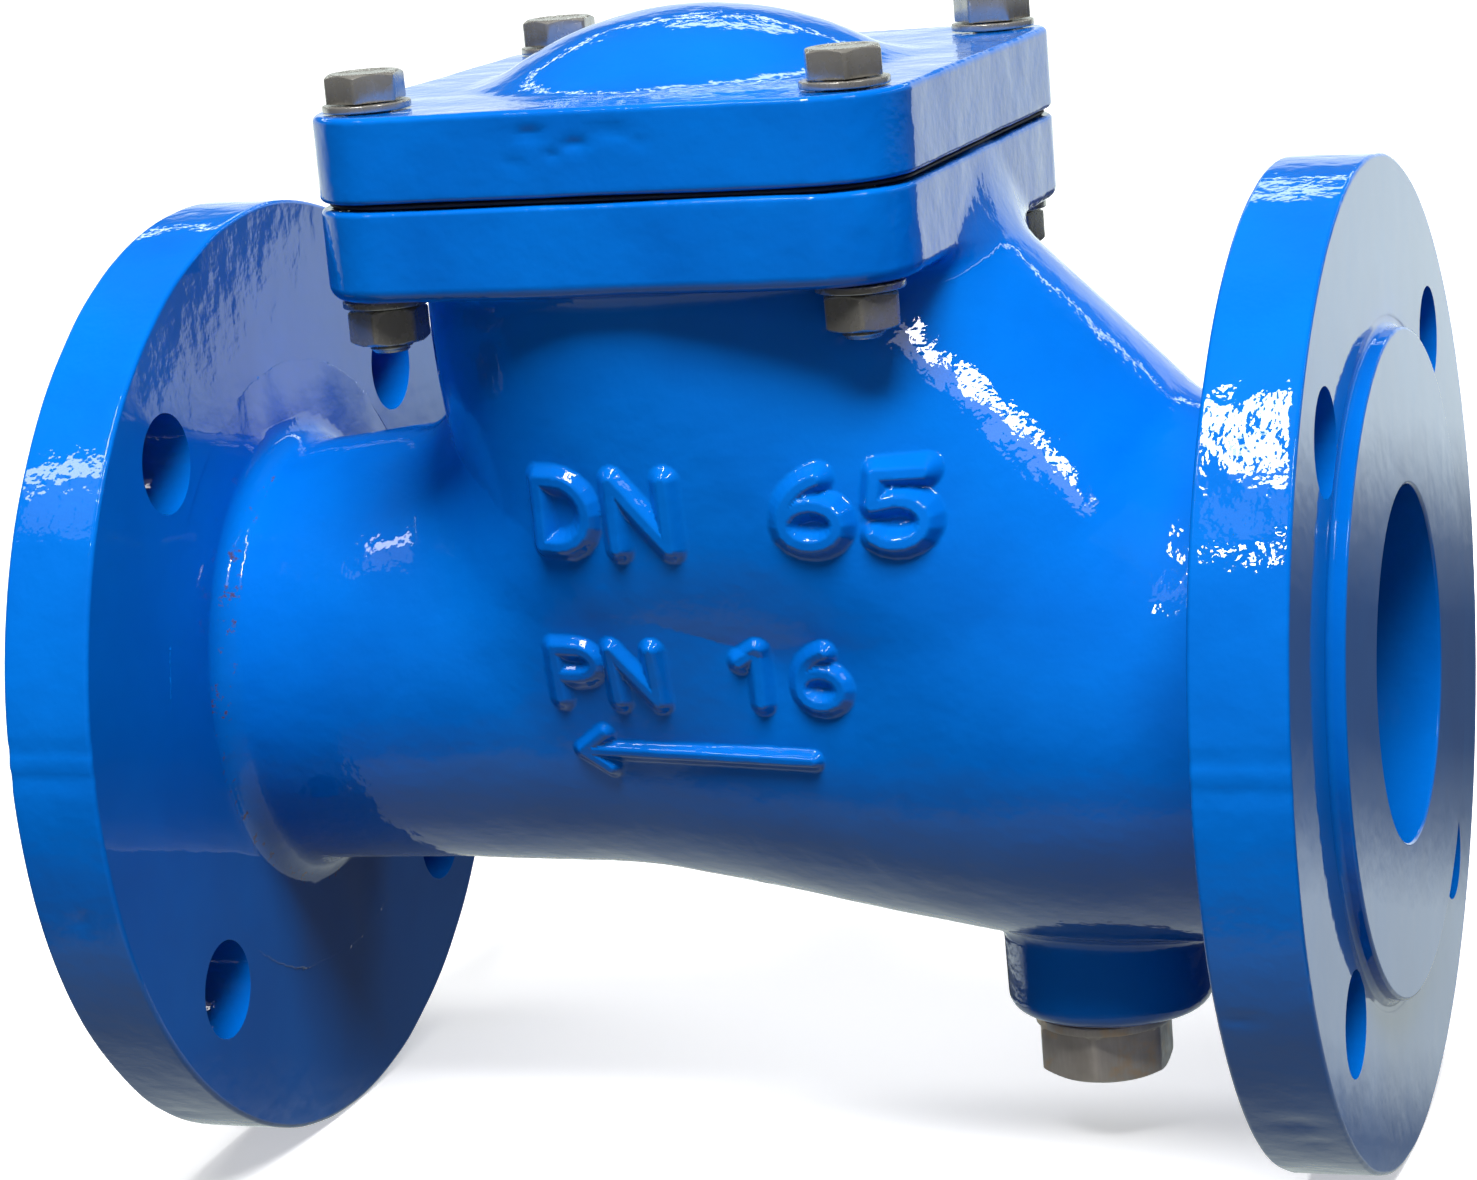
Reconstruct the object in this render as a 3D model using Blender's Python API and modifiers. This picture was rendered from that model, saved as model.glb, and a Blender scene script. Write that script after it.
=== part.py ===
"""Flanged ball check valve, DN 65, PN 16, as an assembly of its separate pieces.

A ductile iron body carries the inlet flange at +X and the outlet flange at -X. The ball rests against
a seat behind the inlet. Flow lifts it along a sloping pocket until it stands clear of the waterway,
under the dome of a bolted cover. A screwed plug closes the drain below the ball.

The origin is on the floor under the middle of the valve: X runs along the pipe, Z points up.
Every size is in metres.
"""

import math

import bmesh
import bpy
from mathutils import Vector

MM = 0.001
GAP = 0.3 * MM  # left between pieces that touch

# Flanges
FLANGE_R = 92.5 * MM
FACE_TO_FACE = 240 * MM
FLANGE_DISC = 17 * MM
RAISED_FACE = 3 * MM
RAISED_FACE_R = 61 * MM
FLANGE_HOLE_R = 9.5 * MM
FLANGE_HOLE_CIRCLE_R = 72.5 * MM
FLANGE_HOLES = 4
FLANGE_FILLET = 6 * MM
RIM_CHAMFER = 1.2 * MM
BORE_R = 32.5 * MM

END_X = FACE_TO_FACE / 2
AXIS_Z = FLANGE_R  # the flanges stand on the floor
FLANGE_BACK_X = END_X - RAISED_FACE - FLANGE_DISC

# Ball and its seat
BALL_R = 42 * MM
LINING = 4 * MM
PIN_HOLE_R = 3 * MM
SEAT_X = 63 * MM  # the ball's centre while it is on its seat
SEAT_R = 30 * MM
SEAT_WIDTH = 4 * MM
SEAT_LIP = 1 * MM

# Waterway and chamber
CHAMBER_R = 44.5 * MM
CHAMBER_OUTER_R = 52 * MM
CHAMBER_START_X = 47 * MM
PIPE_R = 38 * MM
CONE_START_X = -22 * MM
SHOULDER_RISE = 0.15  # slope of the body's top between the outlet flange and the neck
SHOULDER_Z = 5 * MM

# Sloping pocket and neck
NECK_X = -8.6 * MM
POCKET_R = 43 * MM
POCKET_OUTER_R = 49.3 * MM
NECK_R = 44 * MM
NECK_OUTER_R = 51.3 * MM
NECK_ROUND_Z = AXIS_Z + 36 * MM  # below this the neck rounds off into the pipe
OPEN_RISE = SEAT_X - NECK_X  # the ball climbs as far as it moves back
SLOPE_START = 3 * MM  # the sloping wall begins this far below and beyond the seated ball
SLOPE_END = 60 * MM  # and stops this far above it, where the pad and the neck hide its end

# Cover joint
COVER_X = 112 * MM
COVER_Y = 120 * MM
COVER_CORNER_R = 16 * MM
COVER_EDGE = 2 * MM
PAD_BOTTOM_Z = AXIS_Z + 80.9 * MM
PAD_TOP_Z = AXIS_Z + 97.5 * MM
GASKET = 0.7 * MM
GASKET_INSET = 1.2 * MM
COVER_BOTTOM_Z = PAD_TOP_Z + GASKET + 2 * GAP
COVER_TOP_Z = AXIS_Z + 114.3 * MM
DOME_CENTRE_Z = AXIS_Z + 59.9 * MM
DOME_OUTER_R = 66.3 * MM
DOME_INNER_R = 58 * MM

# Cover fasteners, M8
BOLT_SPACING_X = 90 * MM
BOLT_SPACING_Y = 95 * MM
BOLT_R = 4 * MM
BOLT_HOLE_R = 4.6 * MM
BOLT_ENDS_Z = AXIS_Z + 70.8 * MM
HEX_ACROSS_FLATS = 13 * MM
HEAD_HEIGHT = 5.2 * MM
NUT_HEIGHT = 6.5 * MM
WASHER_R = 8 * MM
WASHER = 1.3 * MM

# Drain, with a G 1/2 plug
DRAIN_X = 58.6 * MM
BOSS_R = 18 * MM
BOSS_EDGE = 4 * MM
BOSS_BOTTOM_Z = AXIS_Z - 66.4 * MM
PLUG_R = 10.4 * MM
PLUG_DEPTH = 14 * MM
DRAIN_PORT_R = 7 * MM
SEAL = 0.5 * MM
SEAL_R = 12.6 * MM
COLLAR_R = 13.3 * MM
COLLAR = 1.7 * MM
PLUG_HEX_ACROSS_FLATS = 23 * MM
PLUG_HEX = 9.7 * MM

FINE_STEPS = 72
ROUND_STEPS = 48
SMALL_STEPS = 24

# Colour, metallic and roughness
MATERIALS = {
    "blue_paint": ((0.0, 0.12, 0.55), 0.0, 0.25),
    "black_rubber": ((0.02, 0.02, 0.02), 0.0, 0.7),
    "aluminium": ((0.75, 0.76, 0.78), 1.0, 0.4),
    "stainless_steel": ((0.55, 0.53, 0.50), 1.0, 0.35),
    "plug_steel": ((0.42, 0.39, 0.35), 1.0, 0.45),
    "sealing_fibre": ((0.35, 0.16, 0.08), 0.0, 0.8),
}


def clear_scene():
    for old in list(bpy.data.objects):
        bpy.data.objects.remove(old, do_unlink=True)


def new_collection(name):
    made = bpy.data.collections.new(name)
    bpy.context.scene.collection.children.link(made)
    return made


clear_scene()
PART = new_collection("ball_check_valve")
CUTTERS = new_collection("cutters")
CUTTERS.hide_render = True


def material(node, kind):
    """A material of the node's own, in one of the named finishes."""
    colour, metallic, roughness = MATERIALS[kind]
    made = bpy.data.materials.new(f"{node}_{kind}")
    made.use_nodes = True
    shader = made.node_tree.nodes["Principled BSDF"]
    shader.inputs["Base Color"].default_value = (*colour, 1.0)
    shader.inputs["Metallic"].default_value = metallic
    shader.inputs["Roughness"].default_value = roughness
    made.diffuse_color = (*colour, 1.0)
    return made


def link_mesh(name, mesh, smooth=True):
    """A new object among the cutters, where it stays unless it becomes a piece of the part."""
    for polygon in mesh.polygons:
        polygon.use_smooth = smooth
    made = bpy.data.objects.new(name, mesh)
    CUTTERS.objects.link(made)
    made.display_type = "WIRE"
    made.hide_render = True
    return made


def finished(item, kind):
    """Makes the object a visible piece of the part."""
    CUTTERS.objects.unlink(item)
    PART.objects.link(item)
    item.display_type = "TEXTURED"
    item.hide_render = False
    item.data.materials.append(material(item.name, kind))
    return item


def combine(target, tool, operation):
    step = target.modifiers.new(tool.name, "BOOLEAN")
    step.operation = operation
    step.solver = "EXACT"
    step.object = tool
    return target


def turned(name, profile, steps=ROUND_STEPS, closed=False, place=(0, 0, 0), along_x=False):
    """A profile of (radius, height) points, outer side from top to bottom, turned about its axis.

    An open profile starts and ends on the axis. A closed one goes round a ring's section.
    """
    mesh = bpy.data.meshes.new(name)
    points = [(radius, 0, height) for radius, height in profile]
    edges = [(i, i + 1) for i in range(len(points) - 1)]
    if closed:
        edges.append((len(points) - 1, 0))
    mesh.from_pydata(points, edges, [])
    item = link_mesh(name, mesh)
    screw = item.modifiers.new("turn", "SCREW")
    screw.steps = steps
    screw.render_steps = steps
    screw.use_merge_vertices = True
    screw.merge_threshold = 0.01 * MM
    screw.use_smooth_shade = True
    item.location = place
    if along_x:
        item.rotation_euler = (0, math.pi / 2, 0)
    return item


def rod(name, radius, start, end, steps=ROUND_STEPS):
    """A straight cylinder between two points."""
    start, end = Vector(start), Vector(end)
    half = (end - start).length / 2
    item = turned(name, [(0, half), (radius, half), (radius, -half), (0, -half)], steps)
    item.location = (start + end) / 2
    item.rotation_mode = "QUATERNION"
    item.rotation_quaternion = (end - start).to_track_quat("Z", "Y")
    return item


def arc(centre, radius, start_deg, end_deg, pieces):
    """Points on an arc in a profile, both ends included."""
    points = []
    for i in range(pieces + 1):
        angle = math.radians(start_deg + (end_deg - start_deg) * i / pieces)
        points.append((centre[0] + radius * math.cos(angle), centre[1] + radius * math.sin(angle)))
    return points


def plate(name, size_x, size_y, corner, bottom, top, edge=0.0):
    """A flat plate over the neck with round corners, its long edges rounded by the given radius."""
    outline = []
    for quarter, (side_x, side_y) in enumerate(((1, 1), (-1, 1), (-1, -1), (1, -1))):
        centre = (side_x * (size_x / 2 - corner), side_y * (size_y / 2 - corner))
        outline += arc(centre, corner, 90 * quarter, 90 * quarter + 90, 6)
    shape = bmesh.new()
    face = shape.faces.new([shape.verts.new((NECK_X + x, y, bottom)) for x, y in outline])
    raised = bmesh.ops.extrude_face_region(shape, geom=[face])["geom"]
    corners = [part for part in raised if isinstance(part, bmesh.types.BMVert)]
    bmesh.ops.translate(shape, verts=corners, vec=(0, 0, top - bottom))
    bmesh.ops.recalc_face_normals(shape, faces=shape.faces)
    mesh = bpy.data.meshes.new(name)
    shape.to_mesh(mesh)
    shape.free()
    item = link_mesh(name, mesh)
    if edge:
        bevel = item.modifiers.new("edges", "BEVEL")
        bevel.width = edge
        bevel.segments = 2
        bevel.limit_method = "ANGLE"
        bevel.angle_limit = math.radians(40)
    return item


def hexagon(name, across_flats, height, place, chamfer_top=True, chamfer_bottom=False):
    """A hexagonal prism standing on its place, with its corners chamfered as on a bolt head."""
    corner_r = across_flats / math.sqrt(3)
    bpy.ops.mesh.primitive_cylinder_add(vertices=6, radius=corner_r, depth=height)
    shape = bpy.context.active_object
    mesh = shape.data
    bpy.data.objects.remove(shape)
    item = link_mesh(name, mesh, smooth=False)
    item.location = Vector(place) + Vector((0, 0, height / 2))
    drop = (corner_r - across_flats / 2) * 1.1
    outer = corner_r * 1.02
    top_r = across_flats / 2 * 0.97 if chamfer_top else outer
    bottom_r = across_flats / 2 * 0.97 if chamfer_bottom else outer
    lid = height / 2 + MM / 2
    slope = (outer - across_flats / 2 * 0.97) / drop
    profile = [(0, lid), (top_r - (slope * MM / 2 if chamfer_top else 0), lid)]
    if chamfer_top:
        profile.append((outer, height / 2 - drop))
    if chamfer_bottom:
        profile.append((outer, -height / 2 + drop))
    profile += [(bottom_r - (slope * MM / 2 if chamfer_bottom else 0), -lid), (0, -lid)]
    cone = turned(f"{name}_chamfer", profile, SMALL_STEPS)
    cone.location = item.location
    return combine(item, cone, "INTERSECT")


def ring(name, inner_r, outer_r, bottom, top, place, steps=SMALL_STEPS):
    """A flat ring, such as a washer."""
    section = [(inner_r, top), (outer_r, top), (outer_r, bottom), (inner_r, bottom)]
    return turned(name, section, steps, closed=True, place=place)


def bolt_places():
    """The four bolt axes of the cover, counted round from the outlet side at the front."""
    half_x, half_y = BOLT_SPACING_X / 2, BOLT_SPACING_Y / 2
    sides = ((-1, -1), (1, -1), (1, 1), (-1, 1))
    return [(NECK_X + side_x * half_x, side_y * half_y) for side_x, side_y in sides]


def flange_hole_places():
    """(y, z) of the flange holes, which straddle the centre line."""
    places = []
    for i in range(FLANGE_HOLES):
        angle = 2 * math.pi * (i + 0.5) / FLANGE_HOLES
        y = FLANGE_HOLE_CIRCLE_R * math.cos(angle)
        z = AXIS_Z + FLANGE_HOLE_CIRCLE_R * math.sin(angle)
        places.append((y, z))
    return places


def outer_profile():
    """The casting's outside about the pipe axis, as (radius, x) from the inlet face to the outlet face."""
    disc_x = END_X - RAISED_FACE
    inlet = [
        (0, END_X),
        (RAISED_FACE_R, END_X),
        (RAISED_FACE_R, disc_x),
        (FLANGE_R - RIM_CHAMFER, disc_x),
        (FLANGE_R, disc_x - RIM_CHAMFER),
        (FLANGE_R, FLANGE_BACK_X + RIM_CHAMFER),
        (FLANGE_R - RIM_CHAMFER, FLANGE_BACK_X),
    ]
    outlet = [(radius, -x) for radius, x in reversed(inlet)]
    fillet_x = FLANGE_BACK_X - FLANGE_FILLET
    inlet_fillet = arc((CHAMBER_OUTER_R + FLANGE_FILLET, fillet_x), FLANGE_FILLET, 90, 180, 3)
    outlet_fillet = arc((PIPE_R + FLANGE_FILLET, -fillet_x), FLANGE_FILLET, 180, 270, 3)
    chamber = [(CHAMBER_OUTER_R, CHAMBER_START_X + 5 * MM)]
    pipe = [(PIPE_R, CONE_START_X - 4 * MM)]
    return inlet + inlet_fillet + chamber + pipe + outlet_fillet + outlet


def waterway_profile():
    """The passage about the pipe axis, from beyond the inlet face to beyond the outlet face."""
    beyond = END_X + 2 * MM
    reach = BALL_R + GAP
    lean = math.asin(SEAT_R / BALL_R)
    contact = Vector((reach * math.sin(lean), SEAT_X + reach * math.cos(lean)))
    along = Vector((math.cos(lean), -math.sin(lean)))
    lip = contact - SEAT_LIP * along
    seat_edge = contact + SEAT_WIDTH * along
    back_deg = math.degrees(math.acos(seat_edge.x / CHAMBER_R))
    dome = arc((0, seat_edge.y - CHAMBER_R * math.sin(math.radians(back_deg))), CHAMBER_R, back_deg, 0, 6)
    return [
        (0, beyond),
        (BORE_R, beyond),
        (BORE_R, lip.y + 2 * (BORE_R - lip.x)),
        (lip.x, lip.y),
        (seat_edge.x, seat_edge.y),
        *dome[1:],
        (CHAMBER_R, CHAMBER_START_X),
        (BORE_R, CONE_START_X),
        (BORE_R, -beyond),
        (0, -beyond),
    ]


def round_bottomed(radius, top, round_z):
    """The profile of a cylinder from top down to round_z, with half a sphere under it."""
    bottom = arc((0, round_z), radius, 0, -90, 8)
    return [(0, top), (radius, top), *bottom[:-1], (0, round_z - radius)]


def drain_profile():
    """The plug's hole and the narrower port above it, up into the chamber."""
    port_top = AXIS_Z - CHAMBER_R + 4 * MM
    shoulder = BOSS_BOTTOM_Z + PLUG_DEPTH + MM
    beyond = BOSS_BOTTOM_Z - MM
    port = [(0, port_top), (DRAIN_PORT_R, port_top), (DRAIN_PORT_R, shoulder)]
    return port + [(PLUG_R + GAP, shoulder), (PLUG_R + GAP, beyond), (0, beyond)]


def build_body():
    middle = (0, 0, AXIS_Z)
    body = turned("valve_body", outer_profile(), FINE_STEPS, place=middle, along_x=True)

    shoulder_end = NECK_X - 30 * MM
    shoulder_rise = SHOULDER_RISE * (shoulder_end + FLANGE_BACK_X)
    shoulder = rod(
        "shoulder",
        PIPE_R,
        (-FLANGE_BACK_X - 3 * MM, 0, AXIS_Z + SHOULDER_Z),
        (shoulder_end, 0, AXIS_Z + SHOULDER_Z + shoulder_rise),
    )
    neck_profile = round_bottomed(NECK_OUTER_R, PAD_TOP_Z - MM, NECK_ROUND_Z)
    neck = turned("neck", neck_profile, place=(NECK_X, 0, 0))
    slope = rod(
        "slope",
        POCKET_OUTER_R,
        (SEAT_X + SLOPE_START, 0, AXIS_Z - SLOPE_START),
        (SEAT_X - SLOPE_END, 0, AXIS_Z + SLOPE_END),
    )
    pad = plate("pad", COVER_X, COVER_Y, COVER_CORNER_R, PAD_BOTTOM_Z, PAD_TOP_Z, COVER_EDGE)
    boss_top = AXIS_Z - CHAMBER_R - 3 * MM
    foot = arc((BOSS_R - BOSS_EDGE, BOSS_BOTTOM_Z + BOSS_EDGE), BOSS_EDGE, 0, -90, 4)
    boss_profile = [(0, boss_top), (BOSS_R, boss_top), *foot, (0, BOSS_BOTTOM_Z)]
    boss = turned("drain_boss", boss_profile, place=(DRAIN_X, 0, 0))
    for piece in (shoulder, neck, slope, pad, boss):
        combine(body, piece, "UNION")

    waterway = turned("waterway", waterway_profile(), FINE_STEPS, place=middle, along_x=True)
    pocket = rod(
        "pocket",
        POCKET_R,
        (SEAT_X, 0, AXIS_Z),
        (NECK_X, 0, AXIS_Z + OPEN_RISE),
    )
    room_profile = round_bottomed(NECK_R, PAD_TOP_Z + MM, AXIS_Z + OPEN_RISE)
    neck_pocket = turned("neck_pocket", room_profile, place=(NECK_X, 0, 0))
    drain = turned("drain", drain_profile(), SMALL_STEPS, place=(DRAIN_X, 0, 0))
    for piece in (waterway, pocket, neck_pocket, drain):
        combine(body, piece, "DIFFERENCE")

    for i, (x, y) in enumerate(bolt_places(), 1):
        ends = ((x, y, PAD_BOTTOM_Z - MM), (x, y, PAD_TOP_Z + MM))
        combine(body, rod(f"pad_hole_{i}", BOLT_HOLE_R, *ends, SMALL_STEPS), "DIFFERENCE")
    for side, end in (("outlet", -1), ("inlet", 1)):
        for i, (y, z) in enumerate(flange_hole_places(), 1):
            ends = ((end * (END_X + MM), y, z), (end * (FLANGE_BACK_X - MM), y, z))
            hole = rod(f"{side}_hole_{i}", FLANGE_HOLE_R, *ends, SMALL_STEPS)
            combine(body, hole, "DIFFERENCE")
    return finished(body, "blue_paint")


def build_cover():
    cover = plate("cover", COVER_X, COVER_Y, COVER_CORNER_R, COVER_BOTTOM_Z, COVER_TOP_Z, COVER_EDGE)
    dome_foot = math.degrees(math.asin((COVER_TOP_Z - 3 * MM - DOME_CENTRE_Z) / DOME_OUTER_R))
    cap = arc((0, DOME_CENTRE_Z), DOME_OUTER_R, 90, dome_foot, 8)
    dome = turned("dome", [(0, cap[0][1]), *cap[1:], (0, cap[-1][1])], place=(NECK_X, 0, 0))
    hollow_foot = math.degrees(math.asin((COVER_BOTTOM_Z - MM - DOME_CENTRE_Z) / DOME_INNER_R))
    room = arc((0, DOME_CENTRE_Z), DOME_INNER_R, 90, hollow_foot, 8)
    hollow = turned("hollow", [(0, room[0][1]), *room[1:], (0, room[-1][1])], place=(NECK_X, 0, 0))
    combine(cover, dome, "UNION")
    combine(cover, hollow, "DIFFERENCE")
    for i, (x, y) in enumerate(bolt_places(), 1):
        ends = ((x, y, COVER_BOTTOM_Z - MM), (x, y, COVER_TOP_Z + MM))
        combine(cover, rod(f"cover_hole_{i}", BOLT_HOLE_R, *ends, SMALL_STEPS), "DIFFERENCE")
    return finished(cover, "blue_paint")


def build_gasket():
    bottom = PAD_TOP_Z + GAP
    top = bottom + GASKET
    size_x, size_y = COVER_X - 2 * GASKET_INSET, COVER_Y - 2 * GASKET_INSET
    gasket = plate("cover_gasket", size_x, size_y, COVER_CORNER_R, bottom, top)
    opening = rod("gasket_opening", NECK_R, (NECK_X, 0, bottom - MM), (NECK_X, 0, top + MM))
    combine(gasket, opening, "DIFFERENCE")
    for i, (x, y) in enumerate(bolt_places(), 1):
        ends = ((x, y, bottom - MM), (x, y, top + MM))
        combine(gasket, rod(f"gasket_hole_{i}", BOLT_HOLE_R, *ends, SMALL_STEPS), "DIFFERENCE")
    return finished(gasket, "black_rubber")


def build_ball():
    """A light core inside a rubber lining. A plug closes the hole of the pin that held the core."""
    centre = (SEAT_X, 0, AXIS_Z)
    core_r = BALL_R - LINING - GAP
    pin_depth = core_r - 2 * MM
    sphere = [(radius, height) for radius, height in arc((0, 0), 1.0, 90, -90, 16)]
    sphere[0], sphere[-1] = (0, 1.0), (0, -1.0)

    lining_profile = [(radius * BALL_R, height * BALL_R) for radius, height in sphere]
    room_profile = [(radius * (BALL_R - LINING), height * (BALL_R - LINING)) for radius, height in sphere]
    core_profile = [(radius * core_r, height * core_r) for radius, height in sphere]
    lining = turned("ball_lining", lining_profile, place=centre)
    room = turned("core_room", room_profile, place=centre)
    hole = rod(
        "pin_hole",
        PIN_HOLE_R,
        (SEAT_X, pin_depth, AXIS_Z),
        (SEAT_X, BALL_R + MM, AXIS_Z),
        SMALL_STEPS,
    )
    combine(lining, room, "DIFFERENCE")
    combine(lining, hole, "DIFFERENCE")
    core = turned("ball_core", core_profile, 32, place=centre)
    pin = rod(
        "ball_pin_plug",
        PIN_HOLE_R - GAP,
        (SEAT_X, core_r + GAP, AXIS_Z),
        (SEAT_X, BALL_R - 2 * GAP, AXIS_Z),
        SMALL_STEPS,
    )
    finished(lining, "black_rubber")
    finished(core, "aluminium")
    finished(pin, "black_rubber")


def build_fasteners():
    washer_bottom = COVER_TOP_Z + GAP
    head_bottom = washer_bottom + WASHER + GAP
    nut_washer_bottom = PAD_BOTTOM_Z - GAP - WASHER
    nut_bottom = nut_washer_bottom - GAP - NUT_HEIGHT
    hole_r = BOLT_R + GAP
    for i, (x, y) in enumerate(bolt_places(), 1):
        bolt = hexagon(f"cover_bolt_{i}", HEX_ACROSS_FLATS, HEAD_HEIGHT, (x, y, head_bottom))
        shank_ends = ((x, y, BOLT_ENDS_Z), (x, y, head_bottom + MM))
        combine(bolt, rod(f"bolt_shank_{i}", BOLT_R, *shank_ends, SMALL_STEPS), "UNION")
        finished(bolt, "stainless_steel")

        place = (x, y, 0)
        head_washer = ring(f"bolt_washer_{i}", hole_r, WASHER_R, washer_bottom, washer_bottom + WASHER, place)
        finished(head_washer, "stainless_steel")
        nut_washer_top = nut_washer_bottom + WASHER
        nut_washer = ring(f"nut_washer_{i}", hole_r, WASHER_R, nut_washer_bottom, nut_washer_top, place)
        finished(nut_washer, "stainless_steel")

        nut_place = (x, y, nut_bottom)
        nut = hexagon(f"cover_nut_{i}", HEX_ACROSS_FLATS, NUT_HEIGHT, nut_place, True, True)
        nut_ends = ((x, y, nut_bottom - MM), (x, y, nut_bottom + NUT_HEIGHT + MM))
        combine(nut, rod(f"nut_hole_{i}", hole_r, *nut_ends, SMALL_STEPS), "DIFFERENCE")
        finished(nut, "stainless_steel")


def build_drain_plug():
    seal_top = BOSS_BOTTOM_Z - GAP
    seal_bottom = seal_top - SEAL
    seal = ring("drain_seal", PLUG_R + GAP, SEAL_R, seal_bottom, seal_top, (DRAIN_X, 0, 0))
    finished(seal, "sealing_fibre")

    collar_top = seal_bottom - GAP
    collar_bottom = collar_top - COLLAR
    hex_place = (DRAIN_X, 0, collar_bottom - PLUG_HEX)
    plug = hexagon("drain_plug", PLUG_HEX_ACROSS_FLATS, PLUG_HEX + MM / 2, hex_place, False, True)
    turned_part = turned(
        "plug_turned_part",
        [
            (0, BOSS_BOTTOM_Z + PLUG_DEPTH),
            (PLUG_R - MM, BOSS_BOTTOM_Z + PLUG_DEPTH),
            (PLUG_R, BOSS_BOTTOM_Z + PLUG_DEPTH - MM),
            (PLUG_R, collar_top),
            (COLLAR_R, collar_top),
            (COLLAR_R, collar_bottom),
            (0, collar_bottom),
        ],
        place=(DRAIN_X, 0, 0),
    )
    combine(plug, turned_part, "UNION")
    finished(plug, "plug_steel")


build_body()
build_cover()
build_gasket()
build_ball()
build_fasteners()
build_drain_plug()
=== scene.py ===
"""Looks of the flanged ball check valve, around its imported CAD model.

X runs along the pipe from the outlet flange to the inlet flange, Y away from the front, Z up.
Sizes are in metres. Castings are described by distance functions: a function gives, for any point,
how far it is outside the metal, and is negative inside. Fillets join the shapes, and the surface
where the distance is zero becomes the mesh.
"""

import math

import bmesh
import bpy
import numpy as np
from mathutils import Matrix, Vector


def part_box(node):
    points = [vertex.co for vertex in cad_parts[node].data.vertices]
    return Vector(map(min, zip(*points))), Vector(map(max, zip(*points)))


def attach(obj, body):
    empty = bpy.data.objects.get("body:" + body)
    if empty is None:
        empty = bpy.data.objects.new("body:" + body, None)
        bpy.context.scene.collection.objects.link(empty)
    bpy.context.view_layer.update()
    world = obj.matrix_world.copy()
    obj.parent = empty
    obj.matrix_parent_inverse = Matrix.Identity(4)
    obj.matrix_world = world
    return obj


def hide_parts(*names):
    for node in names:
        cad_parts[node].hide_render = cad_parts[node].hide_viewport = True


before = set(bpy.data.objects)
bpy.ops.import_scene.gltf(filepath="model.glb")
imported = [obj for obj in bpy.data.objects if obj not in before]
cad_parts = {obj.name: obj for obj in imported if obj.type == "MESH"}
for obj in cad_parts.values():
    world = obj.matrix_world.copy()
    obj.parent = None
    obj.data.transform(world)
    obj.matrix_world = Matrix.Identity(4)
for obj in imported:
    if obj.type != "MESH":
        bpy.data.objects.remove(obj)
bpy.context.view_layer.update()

import openvdb
from mathutils import Matrix, Vector

MM = 0.001
GAP = 0.3 * MM  # left between pieces that touch
BEYOND = 200 * MM  # farther than the end of any piece

# Boxes of the CAD pieces that the shapes are measured from
BODY_LOW, BODY_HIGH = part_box("valve_body")
COVER_LOW, COVER_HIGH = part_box("cover")
BALL_LOW, BALL_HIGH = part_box("ball_lining")
PLUG_LOW, PLUG_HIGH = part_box("drain_plug")
GASKET_LOW, GASKET_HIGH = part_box("cover_gasket")

# Flanges
FLANGE_R = (BODY_HIGH.y - BODY_LOW.y) / 2
AXIS_Z = BODY_LOW.z + FLANGE_R
END_X = BODY_HIGH.x
RAISED_FACE = 3 * MM
RAISED_FACE_R = 61 * MM
FLANGE_DISC = 17 * MM
FLANGE_BACK_X = END_X - RAISED_FACE - FLANGE_DISC
FLANGE_CORE_R = 60 * MM  # inside this radius the flange's back is part of the core casting
FACE_COVE = 1.2 * MM  # at the foot of the raised face
FACE_GROOVE = 0.15 * MM
HOLE_R = 9.5 * MM
HOLE_CIRCLE_R = 72.5 * MM
HOLES = 4
BORE_R = 32.5 * MM
CORE_BORE_R = BORE_R + 0.03 * MM  # the core casting's bore, just wider than the flanges' bore

# Ball, seat and waterway. A cone is given by its narrow end's x, its length and its softness
BALL_R = (BALL_HIGH.z - BALL_LOW.z) / 2
SEAT_X = (BALL_LOW.x + BALL_HIGH.x) / 2
SEAT_R = 30 * MM
SEAT_LIP_R = 29.5 * MM
SEAT_START_X = 70 * MM
LIP_START_X = 80 * MM
INLET_START_X = 99 * MM
BALL_LINING = 4 * MM
PIN_HOLE_R = 3 * MM
CHAMBER_R = 44.5 * MM
CHAMBER_END_X = 90 * MM
CHAMBER_END_EDGE = 12 * MM
BORE_CONE = (-24 * MM, 71 * MM, 0.12)
PIPE_R = 38 * MM
CHAMBER_OUTER_R = 52 * MM
OUTER_CONE = (-26 * MM, 78 * MM, 0.12)
CHAMBER_DROP = 1.6 * MM  # the chamber's outside lies lower than its bore, and is as much smaller
TAPER = 1.5 * MM  # it gets smaller towards the flange
TAPER_START_X = 58 * MM
TAPER_LENGTH = 40 * MM
# Ends (x, height) of the rod that raises the outlet pipe's top towards the neck
SHOULDER_START = (-110 * MM, 3.7 * MM)
SHOULDER_END = (-35 * MM, 14.5 * MM)

CORE_END_X = FLANGE_BACK_X + 6 * MM  # the core casting ends inside the flange discs
CORE_DISC_R = 61 * MM
CORE_DISC_X = FLANGE_BACK_X + 0.01 * MM
CORE_EDGE = 0.6 * MM

# Neck, pocket and pad
NECK_X = (COVER_LOW.x + COVER_HIGH.x) / 2
NECK_R = 44 * MM
NECK_OUTER_R = 50.2 * MM
NECK_ROUND = 36 * MM  # below this height the neck rounds off into the pipe
POCKET_R = 43 * MM
POCKET_OUTER_R = 49.3 * MM
OPEN_Z = SEAT_X - NECK_X
PAD_TOP = BODY_HIGH.z - AXIS_Z
PAD_BOTTOM = 80.9 * MM
PLATE_HALF_X = (COVER_HIGH.x - COVER_LOW.x) / 2
PLATE_HALF_Y = (COVER_HIGH.y - COVER_LOW.y) / 2
PLATE_CORNER_R = 16 * MM
PAD_EDGES = (2.8 * MM, 1.0 * MM)  # rounding of the lower and the upper edge

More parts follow.
